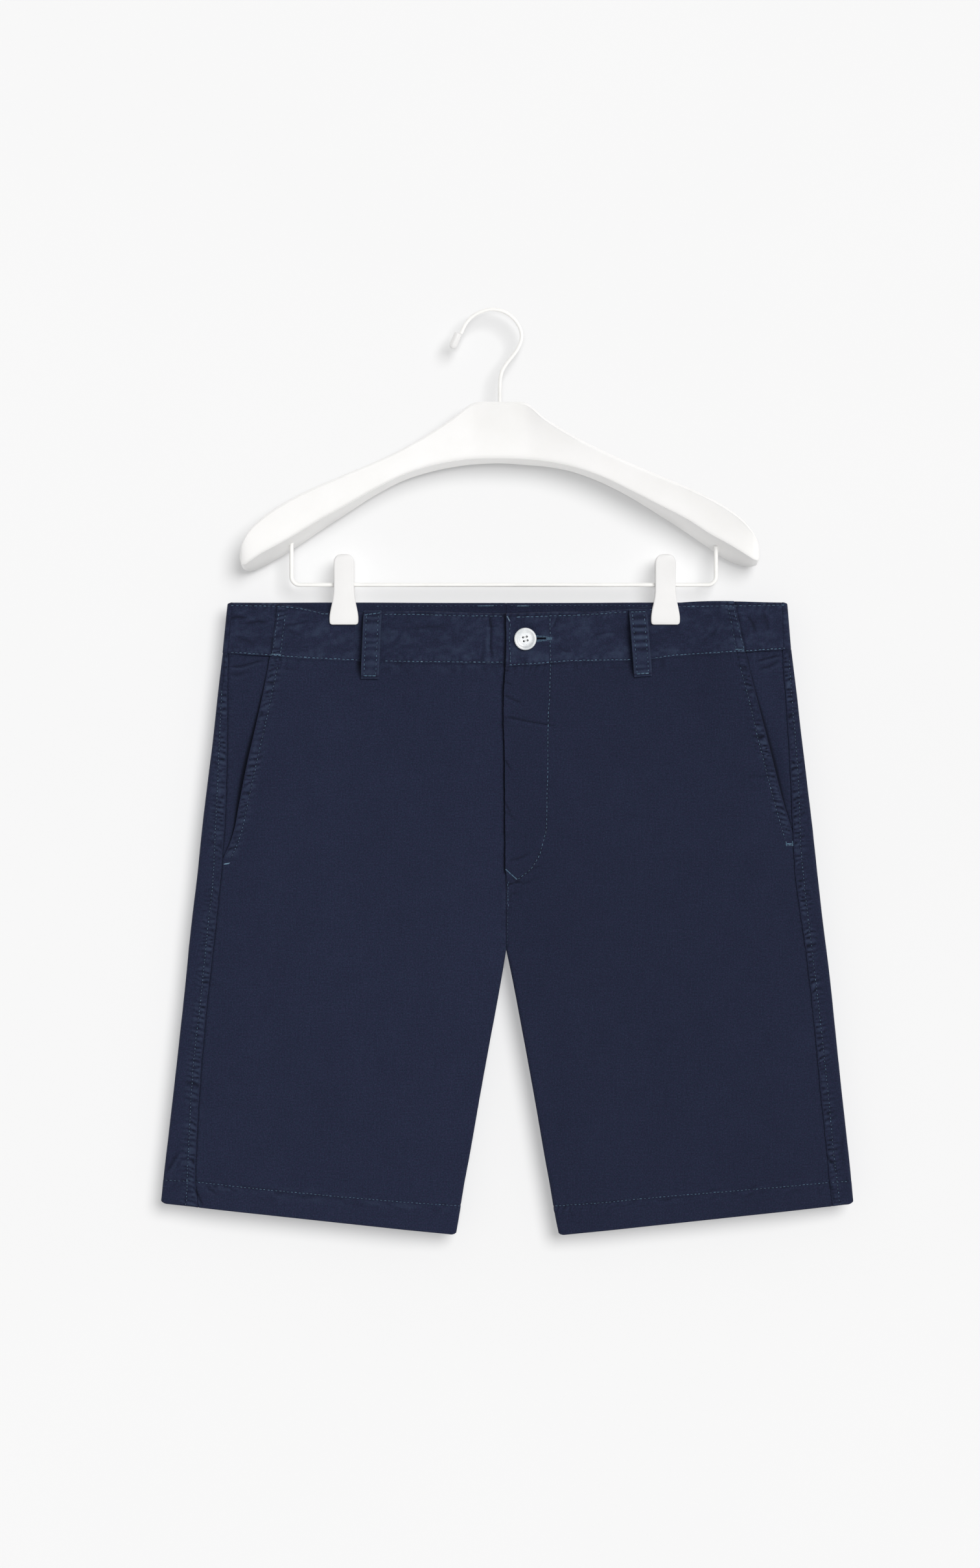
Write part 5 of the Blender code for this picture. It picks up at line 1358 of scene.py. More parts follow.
def waistband():
    made = {}
    t = BAND_T[:, None]
    rows = len(BAND_T)
    pocket = {side: mix(BAND_POCKET_X[side][0], BAND_POCKET_X[side][1], BAND_T) for side in SIDES}
    # right front, on under the flap
    start = pocket["right"] + 0.65 + 0.16 * noise(24, BAND_T * 8.0)
    zone = np.array((0.0, 0.3, 0.7, 1.2, 1.8, 2.5, 3.3, 4.2, 5.1, 6.0, 6.8, 7.5, 8.2, 9.0, 10.0, 11.5, 13.0))
    x = np.concatenate((start[:, None] + zone[None], mix((start + 13.0)[:, None], UNDERLAP_X, np.linspace(0, 1, 160)[None, 1:])), 1)
    made["waistband_front_right"] = band_piece("waistband_front_right_cloth", "right", "front", x, np.broadcast_to(t, x.shape), "waistband_front_right", -1.0, (rows // 2, 100), 2000.0)
    # left front: its near end is the flap, with the buttonhole
    stop = pocket["left"] - 0.65 + 0.16 * noise(25, BAND_T * 8.0)
    from_x, to_x = 32.6, 46.4
    flap = np.concatenate((FLAP_X + 0.85 + np.array((0.0, 0.3, 0.7, 1.2)), np.arange(FLAP_X + 3.2, from_x - 0.3, 1.1), (from_x,), np.arange(from_x + 1.0, to_x - 0.4, 1.0), (to_x,), np.arange(to_x + 1.1, 60.0, 1.1)))
    first, last = int(np.argmin(abs(flap - from_x))), int(np.argmin(abs(flap - to_x)))
    mid_x = mix(flap[-1], (stop - 13.0)[:, None], np.linspace(0, 1, 106)[None, 1:])
    x = np.concatenate((np.broadcast_to(flap[None], (rows, len(flap))), mid_x, stop[:, None] - zone[None, ::-1][:, 1:]), 1)
    band_z = mix(-296.0, -253.0, BAND_T)[:, None]
    x = x + (flap_x(band_z) - FLAP_X) * (1.0 - smooth((x - FLAP_X - 1.5) / 9.0))
    # rows drawn to the slit's two lips
    slit_z = BUTTON_AT[1] + 0.4
    low, top = band_edges("left", 40.0, "front")
    tall = float(top - low)
    wanted = (slit_z + np.array((-0.6, 0.6)) - float(low)) / tall
    wanted = (wanted - 0.35 / tall) / (1.0 - 1.15 / tall)
    tt = BAND_T.copy()
    i0 = int(np.argmin(abs(tt - wanted[0])))
    tt[i0], tt[i0 + 1] = wanted[0], wanted[1]
    made["waistband_front_left"] = band_piece("waistband_front_left_cloth", "left", "front", x, np.broadcast_to(tt[:, None], x.shape), "waistband_front_left", -1.0, (rows // 2, 80), 2600.0, hole=(i0, i0 + 1, first, last))
    for side in SIDES:
        sign = SIGN[side]
        end = mix(BAND_END_X[side][1], BAND_END_X[side][0], BAND_T)
        a, b = pocket[side] - sign * 0.1, end - sign * 0.1
        x = mix(a[:, None], b[:, None], np.concatenate(((0.0, 0.01, 0.03), np.linspace(0.06, 0.95, 26), (0.98, 1.0)))[None])
        made["waistband_side_" + side] = band_piece("waistband_side_" + side + "_cloth", side, "front", x, np.broadcast_to(t, x.shape), "waistband_side_" + side, -1.0, (rows // 2, 14), 3200.0 + 100 * sign, reach=0.6)
        # back, round the outer fold to the side seam
        made["waistband_back_" + side] = band_back(side)
    return made


def band_back(side):
    sign = SIGN[side]
    tb = np.concatenate(((0.0, 0.01, 0.03), np.linspace(0.06, 0.96, 30), (0.985, 1.0)))
    rows = len(tb)
    outer = mix(BAND_FOLD_X[side][1], BAND_FOLD_X[side][0], tb) - sign * BAND / 2
    near_centre = np.array((0.0, 0.35, 0.8, 1.3, 2.0, 3.0, 4.5, 6.5, 9.0))
    near_outer = np.array(STEP_FOLD + (3.8, 5.5, 8.0, 12.0))
    begin = np.full(rows, CENTRE_X + sign * (near_centre[-1] + 0.5))
    end = outer - sign * near_outer[-1]
    back = np.concatenate((
        np.broadcast_to((CENTRE_X + sign * (near_centre + 0.5))[None], (rows, len(near_centre))),
        mix(begin[:, None], end[:, None], np.linspace(0, 1, 118)[None, 1:-1]),
        outer[:, None] - sign * near_outer[None, ::-1],
    ), 1)
    seam = mix(BAND_END_X[side][1], BAND_END_X[side][0], tb) + sign * 0.45 + 0.15 * noise(23, tb * 9.0, sign)
    fold = np.array(STEP_FOLD[1:6])
    wrap = outer[:, None] - sign * fold[None]
    strip = mix(wrap[:, -1:], seam[:, None], np.array((0.3, 0.55, 0.8, 0.93, 1.0))[None])
    front = np.concatenate((wrap, strip), 1)
    t_b = inset_t(side, back, np.broadcast_to(tb[:, None], back.shape), "back")
    t_f = inset_t(side, front, np.broadcast_to(tb[:, None], front.shape), "front")
    pb, pf = band_point(side, back, t_b, "back"), band_point(side, front, t_f, "front")
    pb[:, -1, 1] = 0.0
    base = np.concatenate((pb, pf), 1)
    where = (rows // 2, 50)
    n = normals(base, 1.0, where)
    slow_b, fine_b = band_relief(side, back, pb[..., 2], t_b, "back")
    fade = smooth(np.abs(back - outer[:, None]) / 6.0)
    slow_b, fine_b = slow_b * fade, fine_b * fade
    d = np.abs(front - seam[:, None])
    fine_f = ditch(d, 0.25, 0.6) + 0.12 * noise(97, pf[..., 2] / 2.6, front / 4.0) * smooth(d / 1.5)
    slow, fine = np.concatenate((slow_b, fine_f * 0), 1), np.concatenate((fine_b, fine_f), 1)
    mid = base + n * (slow + fine)[..., None]
    n = normals(mid, 1.0, where)
    flat_x = np.concatenate((back, 2 * outer[:, None] - front), 1)
    made = shell("waistband_back_" + side + "_cloth", mid, n, BAND, wear_and_trough_shade(fine) + faded(flat_x, base[..., 2]), np.stack((flat_x + 3800.0, base[..., 2], flat_x * 0), -1), TWILL, reach=0.75)
    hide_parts("waistband_back_" + side)
    return made, grid_area(mid)


def loop_point(name, s, across, out=0.0):
    """Points of a belt loop: s down it from 0 to 1, across from -0.5 to 0.5."""
    top_x, low_x, top_z, low_z, face = LOOPS[name]
    s, across = np.broadcast_arrays(np.asarray(s, float), np.asarray(across, float))
    inner_s = np.minimum(s, 1.0 - s)
    rise = smooth(inner_s / 0.24)
    x = mix(top_x, low_x, s) + across * LOOP_WIDTH
    z = mix(top_z, low_z, s) + across * (1.2 if name.endswith("front_left") else 0.0) * s
    y = np.empty(np.shape(x))
    for side in SIDES:
        here = (x < CENTRE_X) if side == "right" else (x >= CENTRE_X)
        outer = BAND_FOLD_X[side][1] - SIGN[side] * BAND / 2
        gap = half_gap(LEG[side][0][6], x, z, outer, CENTRE_X, 1.0, 1.0)
        y = np.where(here, gap + BAND / 2 + SEAM + LOOP / 2 + LOOP_BOW * rise + LOOP_EASE, y)
    seed = 100 + list(LOOPS).index(name) * 3
    body = smooth((0.5 - np.abs(across)) / 0.2) * smooth(inner_s / 0.08)
    run = s * 57.0
    fine = body * (0.33 * np.sin(2 * math.pi * (run / 7.6 + 0.6 * noise(seed, run / 11.0))) * (0.6 + 0.5 * noise(seed + 1, run / 15.0)) + 0.10 * noise(seed + 2, run / 3.0, across * 4.0))
    fine = fine - 0.15 * np.exp(-(((np.abs(across) * LOOP_WIDTH - 4.9) / 0.5) ** 2)) * smooth(inner_s / 0.05)
    fine = fine + 0.05 * np.exp(-(((np.abs(across) * LOOP_WIDTH - 6.6) / 0.9) ** 2))
    fine = fine - 0.3 * np.exp(-(((inner_s * 57.0 - 2.2) / 0.9) ** 2))
    tilt = (-1.9 if face == "front" else 0.8) * across * rise
    height = y + out + fine + tilt
    return np.stack((x, -height if face == "front" else height, z), -1), fine


def belt_loop(name):
    s = np.concatenate(((0.012, 0.02, 0.032), np.linspace(0.045, 0.955, 58), (0.968, 0.98, 0.988)))
    across = np.concatenate(((-0.46, -0.44, -0.41), np.linspace(-0.38, 0.38, 16), (0.41, 0.44, 0.46)))
    points, fine = loop_point(name, s[:, None], across[None])
    face = LOOPS[name][4]
    facing = -1.0 if face == "front" else 1.0
    n = normals(points, facing, (30, 8))
    grain = np.stack((points[..., 0] + 4500.0, points[..., 2], points[..., 0] * 0), -1)
    relief = wear_and_trough_shade(fine) + 0.12 * np.exp(-(((0.5 - np.abs(across))[None] * LOOP_WIDTH / 1.0) ** 2)) + 0.12
    made = shell(name + "_cloth", points, n, LOOP, relief, grain, TWILL, reach=0.7)
    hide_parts(name)
    return made, grid_area(points)


# Stitches ----------------------------------------------------------------------------


def front_surface(side, part="panel"):
    def at(x, z):
        v = solve_v(side, x, z, "front")
        p = leg_point(side, v, x, "front")
        slow, fine = front_relief(side, x, z, part)
        p[..., 1] -= slow + fine + 0.2 + PANEL / 2 + (front_out(side, x, z) if part == "panel" else 0.0)
        if part == "facing":
            p[..., 1] += facing_drop(side, x, z)
        return p
    return at


def back_surface(side):
    def at(x, z):
        v = solve_v(side, x, z, "back")
        p = leg_point(side, v, x, "back")
        _, outer, inner = edges(side, v)
        slow, fine = back_relief(side, x, z, outer, inner)
        p[..., 1] += slow + fine + 0.2 + PANEL / 2
        return p
    return at


def band_surface(side, face):
    def at(x, z):
        low, high = band_edges(side, x, face)
        t = (z - low) / (high - low)
        p = band_point(side, x, t, face, band_lift(side, x, face))
        slow, fine = band_relief(side, x, z, t, face)
        p[..., 1] += (slow + fine + BAND / 2) * (-1.0 if face == "front" else 1.0)
        return p
    return at


def loop_surface(name):
    """Here x is across and z is s."""
    def at(x, z):
        return loop_point(name, z, x, LOOP / 2)[0]
    return at


class Thread:
    """Gathers stitches and makes them one mesh."""

    ARCH = np.array((-0.22, 0.05, 0.12, 0.05, -0.22))
    ALONG = np.array((0.0, 0.2, 0.5, 0.8, 1.0))

    def __init__(self, name, sides=5):
        self.name, self.sides = name, sides
        self.verts, self.faces, self.tone, self.along, self.count = [], [], [], [], 0
        self.random = np.random.RandomState(len(name) * 7 + 3)

    def add(self, surface, start, stop, facing, tone, radius=0.24, arch=1.0, step=0.25):
        """Stitches from each row of start to the same row of stop, as the surface's own two numbers."""
        start, stop = np.atleast_2d(start), np.atleast_2d(stop)
        t = self.ALONG[None, :, None]
        at = mix(start[:, None], stop[:, None], t)
        points = surface(at[..., 0], at[..., 1])
        du = surface(at[..., 0] + step, at[..., 1])
        dv = surface(at[..., 0], at[..., 1] + step)
        n = np.cross(du - points, dv - points)
        n /= np.maximum(np.linalg.norm(n, axis=-1, keepdims=True), 1e-9)
        n *= np.where(n[..., 1:2] * facing < 0, -1.0, 1.0)
        centre = points + n * (self.ARCH[None, :, None] * arch + radius * 0.35)
        along = centre[:, -1] - centre[:, 0]
        along /= np.maximum(np.linalg.norm(along, axis=-1, keepdims=True), 1e-9)
        across = np.cross(along[:, None], n)
        across /= np.maximum(np.linalg.norm(across, axis=-1, keepdims=True), 1e-9)
        angles = np.linspace(0, 2 * math.pi, self.sides, endpoint=False)
        ring = np.cos(angles)[None, None, :, None] * across[:, 1:4, None] + np.sin(angles)[None, None, :, None] * n[:, 1:4, None]
        size = radius * np.array((0.86, 1.0, 0.86))[None, :, None, None] * self.random.uniform(0.88, 1.12, (len(start), 1, 1, 1))
        body = centre[:, 1:4, None] + ring * size
        k = self.sides
        block = np.concatenate((centre[:, :1], body.reshape(len(start), 3 * k, 3), centre[:, 4:]), 1)
        each = 3 * k + 2
        around = np.arange(k)
        next_ = np.roll(around, -1)
        tris = [[0, 1 + a, 1 + b] for a, b in zip(around, next_)]
        quads = []
        for r in (0, 1):
            quads += [[1 + r * k + a, 1 + (r + 1) * k + a, 1 + (r + 1) * k + b, 1 + r * k + b] for a, b in zip(around, next_)]
        last = 1 + 2 * k
        tris += [[last + a, each - 1, last + b] for a, b in zip(around, next_)]
        for i in range(len(start)):
            base = self.count + i * each
            self.faces += [[base + q for q in face] for face in tris + quads]
        self.count += len(start) * each
        self.verts.append(block.reshape(-1, 3))
        tones = np.clip(tone + self.random.normal(0.0, 0.11, len(start)), 0.02, 0.98)
        self.tone.append(np.repeat(tones, each))
        length = np.linalg.norm(centre[:, -1] - centre[:, 0], axis=-1)
        share = np.concatenate(((0.0,), np.repeat(self.ALONG[1:4], k), (1.0,)))
        self.along.append((share[None] * length[:, None]).ravel())

    def line(self, surface, points, facing, tone, dash=2.1, pitch=PITCH, radius=0.24, wander=0.10, scale=(1.0, 1.0), skip=0.0):
        """A row of stitches along (x, z) points. scale turns the two numbers into mm."""
        pts = through([np.array(p, float) for p in points], 12)
        real = pts * np.array(scale)
        run = np.concatenate(((0.0,), np.cumsum(np.linalg.norm(np.diff(real, axis=0), axis=-1))))
        count = int(run[-1] // pitch)
        if count < 1:
            return
        begin = (np.arange(count) + 0.5) * (run[-1] / count) - dash / 2
        begin = begin + self.random.uniform(-0.22, 0.22, count)
        long = dash * self.random.uniform(0.82, 1.15, count)
        at = lambda s: np.stack([np.interp(s, run, pts[:, k]) for k in (0, 1)], -1)
        start, stop = at(begin), at(np.minimum(begin + long, run[-1]))
        off = self.random.normal(0.0, wander, (count, 2)) / np.array(scale)
        keep = self.random.uniform(0, 1, count) >= skip
        self.add(surface, (start + off)[keep], (stop + off + self.random.normal(0.0, wander * 0.5, (count, 2)) / np.array(scale))[keep], facing, tone, radius, step=0.25 / max(scale))

    def tack(self, surface, a, b, width, facing, tone, gap=0.42, radius=0.2, scale=(1.0, 1.0), rows=1):
        """A bartack from a to b: close zigzag bars across it."""
        a, b, scale = np.array(a, float), np.array(b, float), np.array(scale)
        way = (b - a) * scale
        length = np.linalg.norm(way)
        way /= length
        side = np.array((-way[1], way[0]))
        count = max(3, int(length / gap))
        s = (np.arange(count) + 0.5) / count
        centre = a[None] + (b - a)[None] * s[:, None]
        half = width / 2 * self.random.uniform(0.85, 1.1, (count, 1))
        tilt = way[None] * gap * 0.45
        self.add(surface, centre - (side[None] * half + tilt) / scale, centre + (side[None] * half + tilt) / scale, facing, tone, radius, arch=0.7, step=0.25 / max(scale))

    def strands(self, surface, a, b, width, count, facing, tone, radius=0.24, scale=(1.0, 1.0)):
        """Threads laid side by side from a to b."""
        a, b, scale = np.array(a, float), np.array(b, float), np.array(scale)
        way = (b - a) * scale
        way /= np.linalg.norm(way)
        side = np.array((-way[1], way[0]))
        for k in range(count):
            off = (k - (count - 1) / 2) * width / max(count - 1, 1)
            jitter = self.random.normal(0.0, 0.08, (2, 2))
            pieces = max(1, int(np.linalg.norm((b - a) * scale) / 3.2))
            for q in range(pieces):
                p0 = mix(a, b, q / pieces) + (side * off + jitter[0]) / scale
                p1 = mix(a, b, (q + 1) / pieces) + (side * off + jitter[1]) / scale
                self.add(surface, p0, p1, facing, tone, radius, arch=0.8, step=0.25 / max(scale))

    def make(self):
        made = build(self.name, np.concatenate(self.verts), self.faces, THREAD, layers={"tone": np.concatenate(self.tone), "along": np.concatenate(self.along)})
        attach(made, "root")
        return made


def clear_of(points, loops, width=8.6):
    """Splits a line at the belt loops that cover it."""
    pts = through([np.array(p, float) for p in points], 16)
    runs, now = [], []
    for p in pts:
        if any(abs(p[0] - x) < width for x in loops):
            if len(now) > 2:
                runs.append(now)
            now = []
        else:
            now.append(p)
    if len(now) > 2:
        runs.append(now)
    return [np.array(r)[:: max(1, len(r) // 40)] if len(r) > 40 else np.array(r) for r in runs]


def front_stitches():
    thread = Thread("stitches_front")
    for side in SIDES:
        sign = SIGN[side]
        panel, strip, band = front_surface(side), front_surface(side, "strip"), band_surface(side, "front")
        thread.line(strip, SIDE_STITCH[side], -1.0, 0.40, dash=1.7, pitch=2.87 if side == "right" else 3.12, radius=0.32)
        end = SIDE_STITCH[side][-1]
        row, outer, inner = edges(side, 17.0)
        thread.line(strip, (end, (end[0] + sign * 0.9, end[1] - 3.5)), -1.0, 0.40, dash=1.7, pitch=2.9, radius=0.31)
        hem = HEM_STITCHES[side]
        seam = float(seam_x(side, -728.0 if side == "right" else -728.0))
        inside = [p for p in hem if sign * p[0] < sign * seam - 1.0]
        edge_z = float(curve(hem, seam))
        thread.line(panel, ([(seam - sign * 1.0, edge_z)] + inside[::-1] if side == "left" else [(seam + 1.0, edge_z)] + inside), -1.0, 0.41, dash=2.2, pitch=3.22, radius=0.31)
        thread.line(strip, ((seam + sign * 1.2, edge_z), (hem[0] if side == "right" else hem[-1])), -1.0, 0.41, dash=2.2, pitch=3.22, radius=0.31)
        thread.line(panel, POCKET_STITCH[side][1:], -1.0, 0.41, dash=1.8, pitch=3.08, radius=0.31)
        loops = (LOOPS["belt_loop_front_" + side][0],)
        # waistband: top edge, lower edge, both sides of the pocket seam
        for points, tone, pitch in ((TOP_STITCH[side], 0.45, 3.8), (WAIST_STITCH[side], 0.53, 3.57 if side == "right" else 3.35)):
            for run in clear_of(points, loops if points is TOP_STITCH[side] else (LOOPS["belt_loop_front_" + side][1],)):
                thread.line(band, run, -1.0, tone, dash=0.76 * pitch, pitch=pitch, radius=0.34)
        (x0, z0), (x1, z1) = BAND_SIDE_STITCH[side]
        thread.line(band, ((x0, z0 - 2.0), (x1, z1)), -1.0, 0.41, dash=2.0, pitch=3.3, radius=0.29)
        pb, pt = BAND_POCKET_X[side]
        thread.line(band, ((pt - sign * 1.3, z0 - 1.0), (pb - sign * 1.3, z1 + 0.5)), -1.0, 0.46, dash=2.0, pitch=3.3, radius=0.29, wander=0.2)
        # bartacks at both ends of the pocket
        if side == "right":
            thread.add(panel, ((-223.0, -462.2), (-222.6, -461.6), (-222.4, -462.4)), ((-216.6, -461.1), (-216.2, -460.7), (-217.0, -461.4)), -1.0, 0.70, 0.24)
            thread.tack(band, (-182.2, -286.7), (-174.2, -287.4), 1.0, -1.0, 0.74)
        else:
            thread.tack(panel, (246.9, -445.6), (252.9, -446.0), 1.5, -1.0, 0.62, gap=0.62)
            thread.strands(panel, (246.8, -444.7), (252.6, -445.0), 0.4, 2, -1.0, 0.66, radius=0.22)
            thread.strands(panel, (246.9, -442.6), (247.3, -447.4), 0.5, 2, -1.0, 0.60, radius=0.2)
            thread.strands(panel, (252.0, -441.6), (252.5, -447.4), 0.5, 2, -1.0, 0.58, radius=0.2)
            thread.tack(band, (204.6, -282.8), (211.8, -282.6), 1.0, -1.0, 0.62)
    panel, band = front_surface("left"), band_surface("left", "front")
    # the fly
    thread.line(panel, FLY_STITCH, -1.0, 0.46, dash=2.5, pitch=3.54, radius=0.33)
    thread.line(band, ((49.9, -256.4), (50.4, -293.0)), -1.0, 0.45, dash=2.5, pitch=3.54, radius=0.32)
    thread.tack(panel, FLY_TACK[0], FLY_TACK[1], 1.1, -1.0, 0.54, gap=0.5)
    thread.strands(panel, FLY_TACK[0], FLY_TACK[1], 0.5, 2, -1.0, 0.62, radius=0.2)
    thread.line(panel, CROTCH_STITCH[:2], -1.0, 0.50, dash=2.0, pitch=2.3, radius=0.22, wander=0.22)
    thread.line(panel, CROTCH_STITCH[1:], -1.0, 0.30, dash=2.0, pitch=3.0, radius=0.18, wander=0.12)
    thread.line(band, ((16.6, -257.6), (16.4, -275.0), (16.8, -294.4)), -1.0, 0.44, dash=2.5, pitch=3.3, radius=0.30, wander=0.2)
    thread.tack(band, (14.2, -255.2), (16.4, -259.4), 1.3, -1.0, 0.86, gap=0.5)
    # buttonhole: overcast round the slit, a tack at its far end
    z = BUTTON_AT[1] + 0.4
    xs = np.arange(33.0, 47.4, 0.46)
    reach = mix(2.5, 1.35, smooth((xs - 37.0) / 9.0))
    for way in (1.0, -1.0):
        thread.add(band, np.stack((xs, np.full(len(xs), z + way * 0.66)), -1), np.stack((xs + 0.12, z + way * (0.66 + reach)), -1), -1.0, 0.46, 0.2, arch=0.9)
        thread.line(band, ((33.2, z + way * 2.7), (40.0, z + way * 2.45), (46.6, z + way * 1.6)), -1.0, 0.62, dash=2.3, pitch=2.4, radius=0.18)
    thread.tack(band, (46.9, z), (51.6, z), 3.2, -1.0, 0.54, gap=0.46)
    return thread.make()


def back_stitches():
    thread = Thread("stitches_back")
    for side in SIDES:
        sign = SIGN[side]
        back, band = back_surface(side), band_surface(side, "back")
        outer = float(edges(side, 16.0)[1])
        inner = float(edges(side, 16.0)[2])
        xs = np.linspace(inner + sign * 3.5, outer - sign * 4.0, 12)
        thread.line(back, [(a, float(back_hem_z(side, a))) for a in xs], 1.0, 0.46, dash=2.4, pitch=3.22, radius=0.32)
        loops = (LOOPS["belt_loop_back_" + side][0], LOOPS["belt_loop_back_centre"][0])
        far = BAND_FOLD_X[side][1] - sign * 5.0
        low = [(a, float(band_edges(side, a, "back")[0]) + 1.2) for a in np.linspace(CENTRE_X + sign * 1.5, far, 8)]
        top = [(a, BACK_TOP_Z - 2.5) for a in np.linspace(CENTRE_X + sign * 1.5, far, 8)]
        for points, tone in ((low, 0.54), (top, 0.44)):
            for run in clear_of(points, loops):
                thread.line(band, run, 1.0, tone, dash=2.0, radius=0.23)
    centre = back_surface("right")
    zs = np.linspace(-286.5, -528.0, 14)
    for off in (1.4, 6.4):
        thread.line(centre, [(CENTRE_X - off, z) for z in zs], 1.0, 0.42, dash=1.9, radius=0.22)
    thread.tack(centre, (CENTRE_X - 1.0, -529.0), (CENTRE_X - 6.5, -530.0), 1.2, 1.0, 0.7, gap=0.46)
    for side, off in (("right", -1.6), ("left", 1.6)):
        thread.line(band_surface(side, "back"), ((CENTRE_X + off, BACK_TOP_Z - 3.0), (CENTRE_X + off, -283.0)), 1.0, 0.42, dash=1.9, radius=0.21)
    return thread.make()


def inner_back_stitches():
    """What shows of the back waistband's inside, between the clips and above the front."""
    thread = Thread("stitches_inside_back")

    def inside(side):
        def at(x, z):
            low, high = band_edges(side, x, "back")
            t = (z - low) / (high - low)
            p = band_point(side, x, t, "back")
            slow, fine = band_relief(side, x, z, t, "back")
            p[..., 1] += slow + fine - BAND / 2
            return p
        return at

    for side, points in (("right", ((-96.0, -246.3), (-62.6, -246.2), (-30.0, -245.9), (11.0, -245.8))), ("left", ((16.0, -245.8), (77.8, -245.6), (133.0, -246.2)))):
        thread.line(inside(side), points, -1.0, 0.42, dash=2.0, radius=0.22)
    thread.tack(inside("right"), (-9.7, -246.0), (3.0, -245.8), 1.2, -1.0, 0.66, gap=0.5)
    thread.tack(inside("left"), (22.7, -246.0), (32.4, -246.0), 1.3, -1.0, 0.7, gap=0.5)
    return thread.make()


def loop_stitches():
    thread = Thread("stitches_loops")
    for name in LOOPS:
        surface = loop_surface(name)
        facing = -1.0 if LOOPS[name][4] == "front" else 1.0
        scale = (LOOP_WIDTH, 57.0)
        for across in (-0.325, 0.325):
            thread.line(surface, ((across, 0.06), (across, 0.5), (across, 0.95)), facing, 0.48, dash=2.2, pitch=3.4, radius=0.28, scale=scale)
        if name == "belt_loop_front_right":
            thread.strands(surface, (-0.46, 0.066), (0.46, 0.030), 0.5, 2, facing, 0.52, radius=0.2, scale=scale)
        else:
            thread.strands(surface, (-0.42, 0.046), (0.44, 0.036), 0.5, 2, facing, 0.50, radius=0.2, scale=scale)
        thread.strands(surface, (-0.36, 0.950), (0.35, 0.954), 0.5, 2, facing, 0.60, radius=0.22, scale=scale)
        thread.tack(surface, (-0.36, 0.952), (0.34, 0.952), 0.9, facing, 0.50, gap=0.7, radius=0.17, scale=scale)
    return thread.make()


# Button ---------------------------------------------------------------------------------


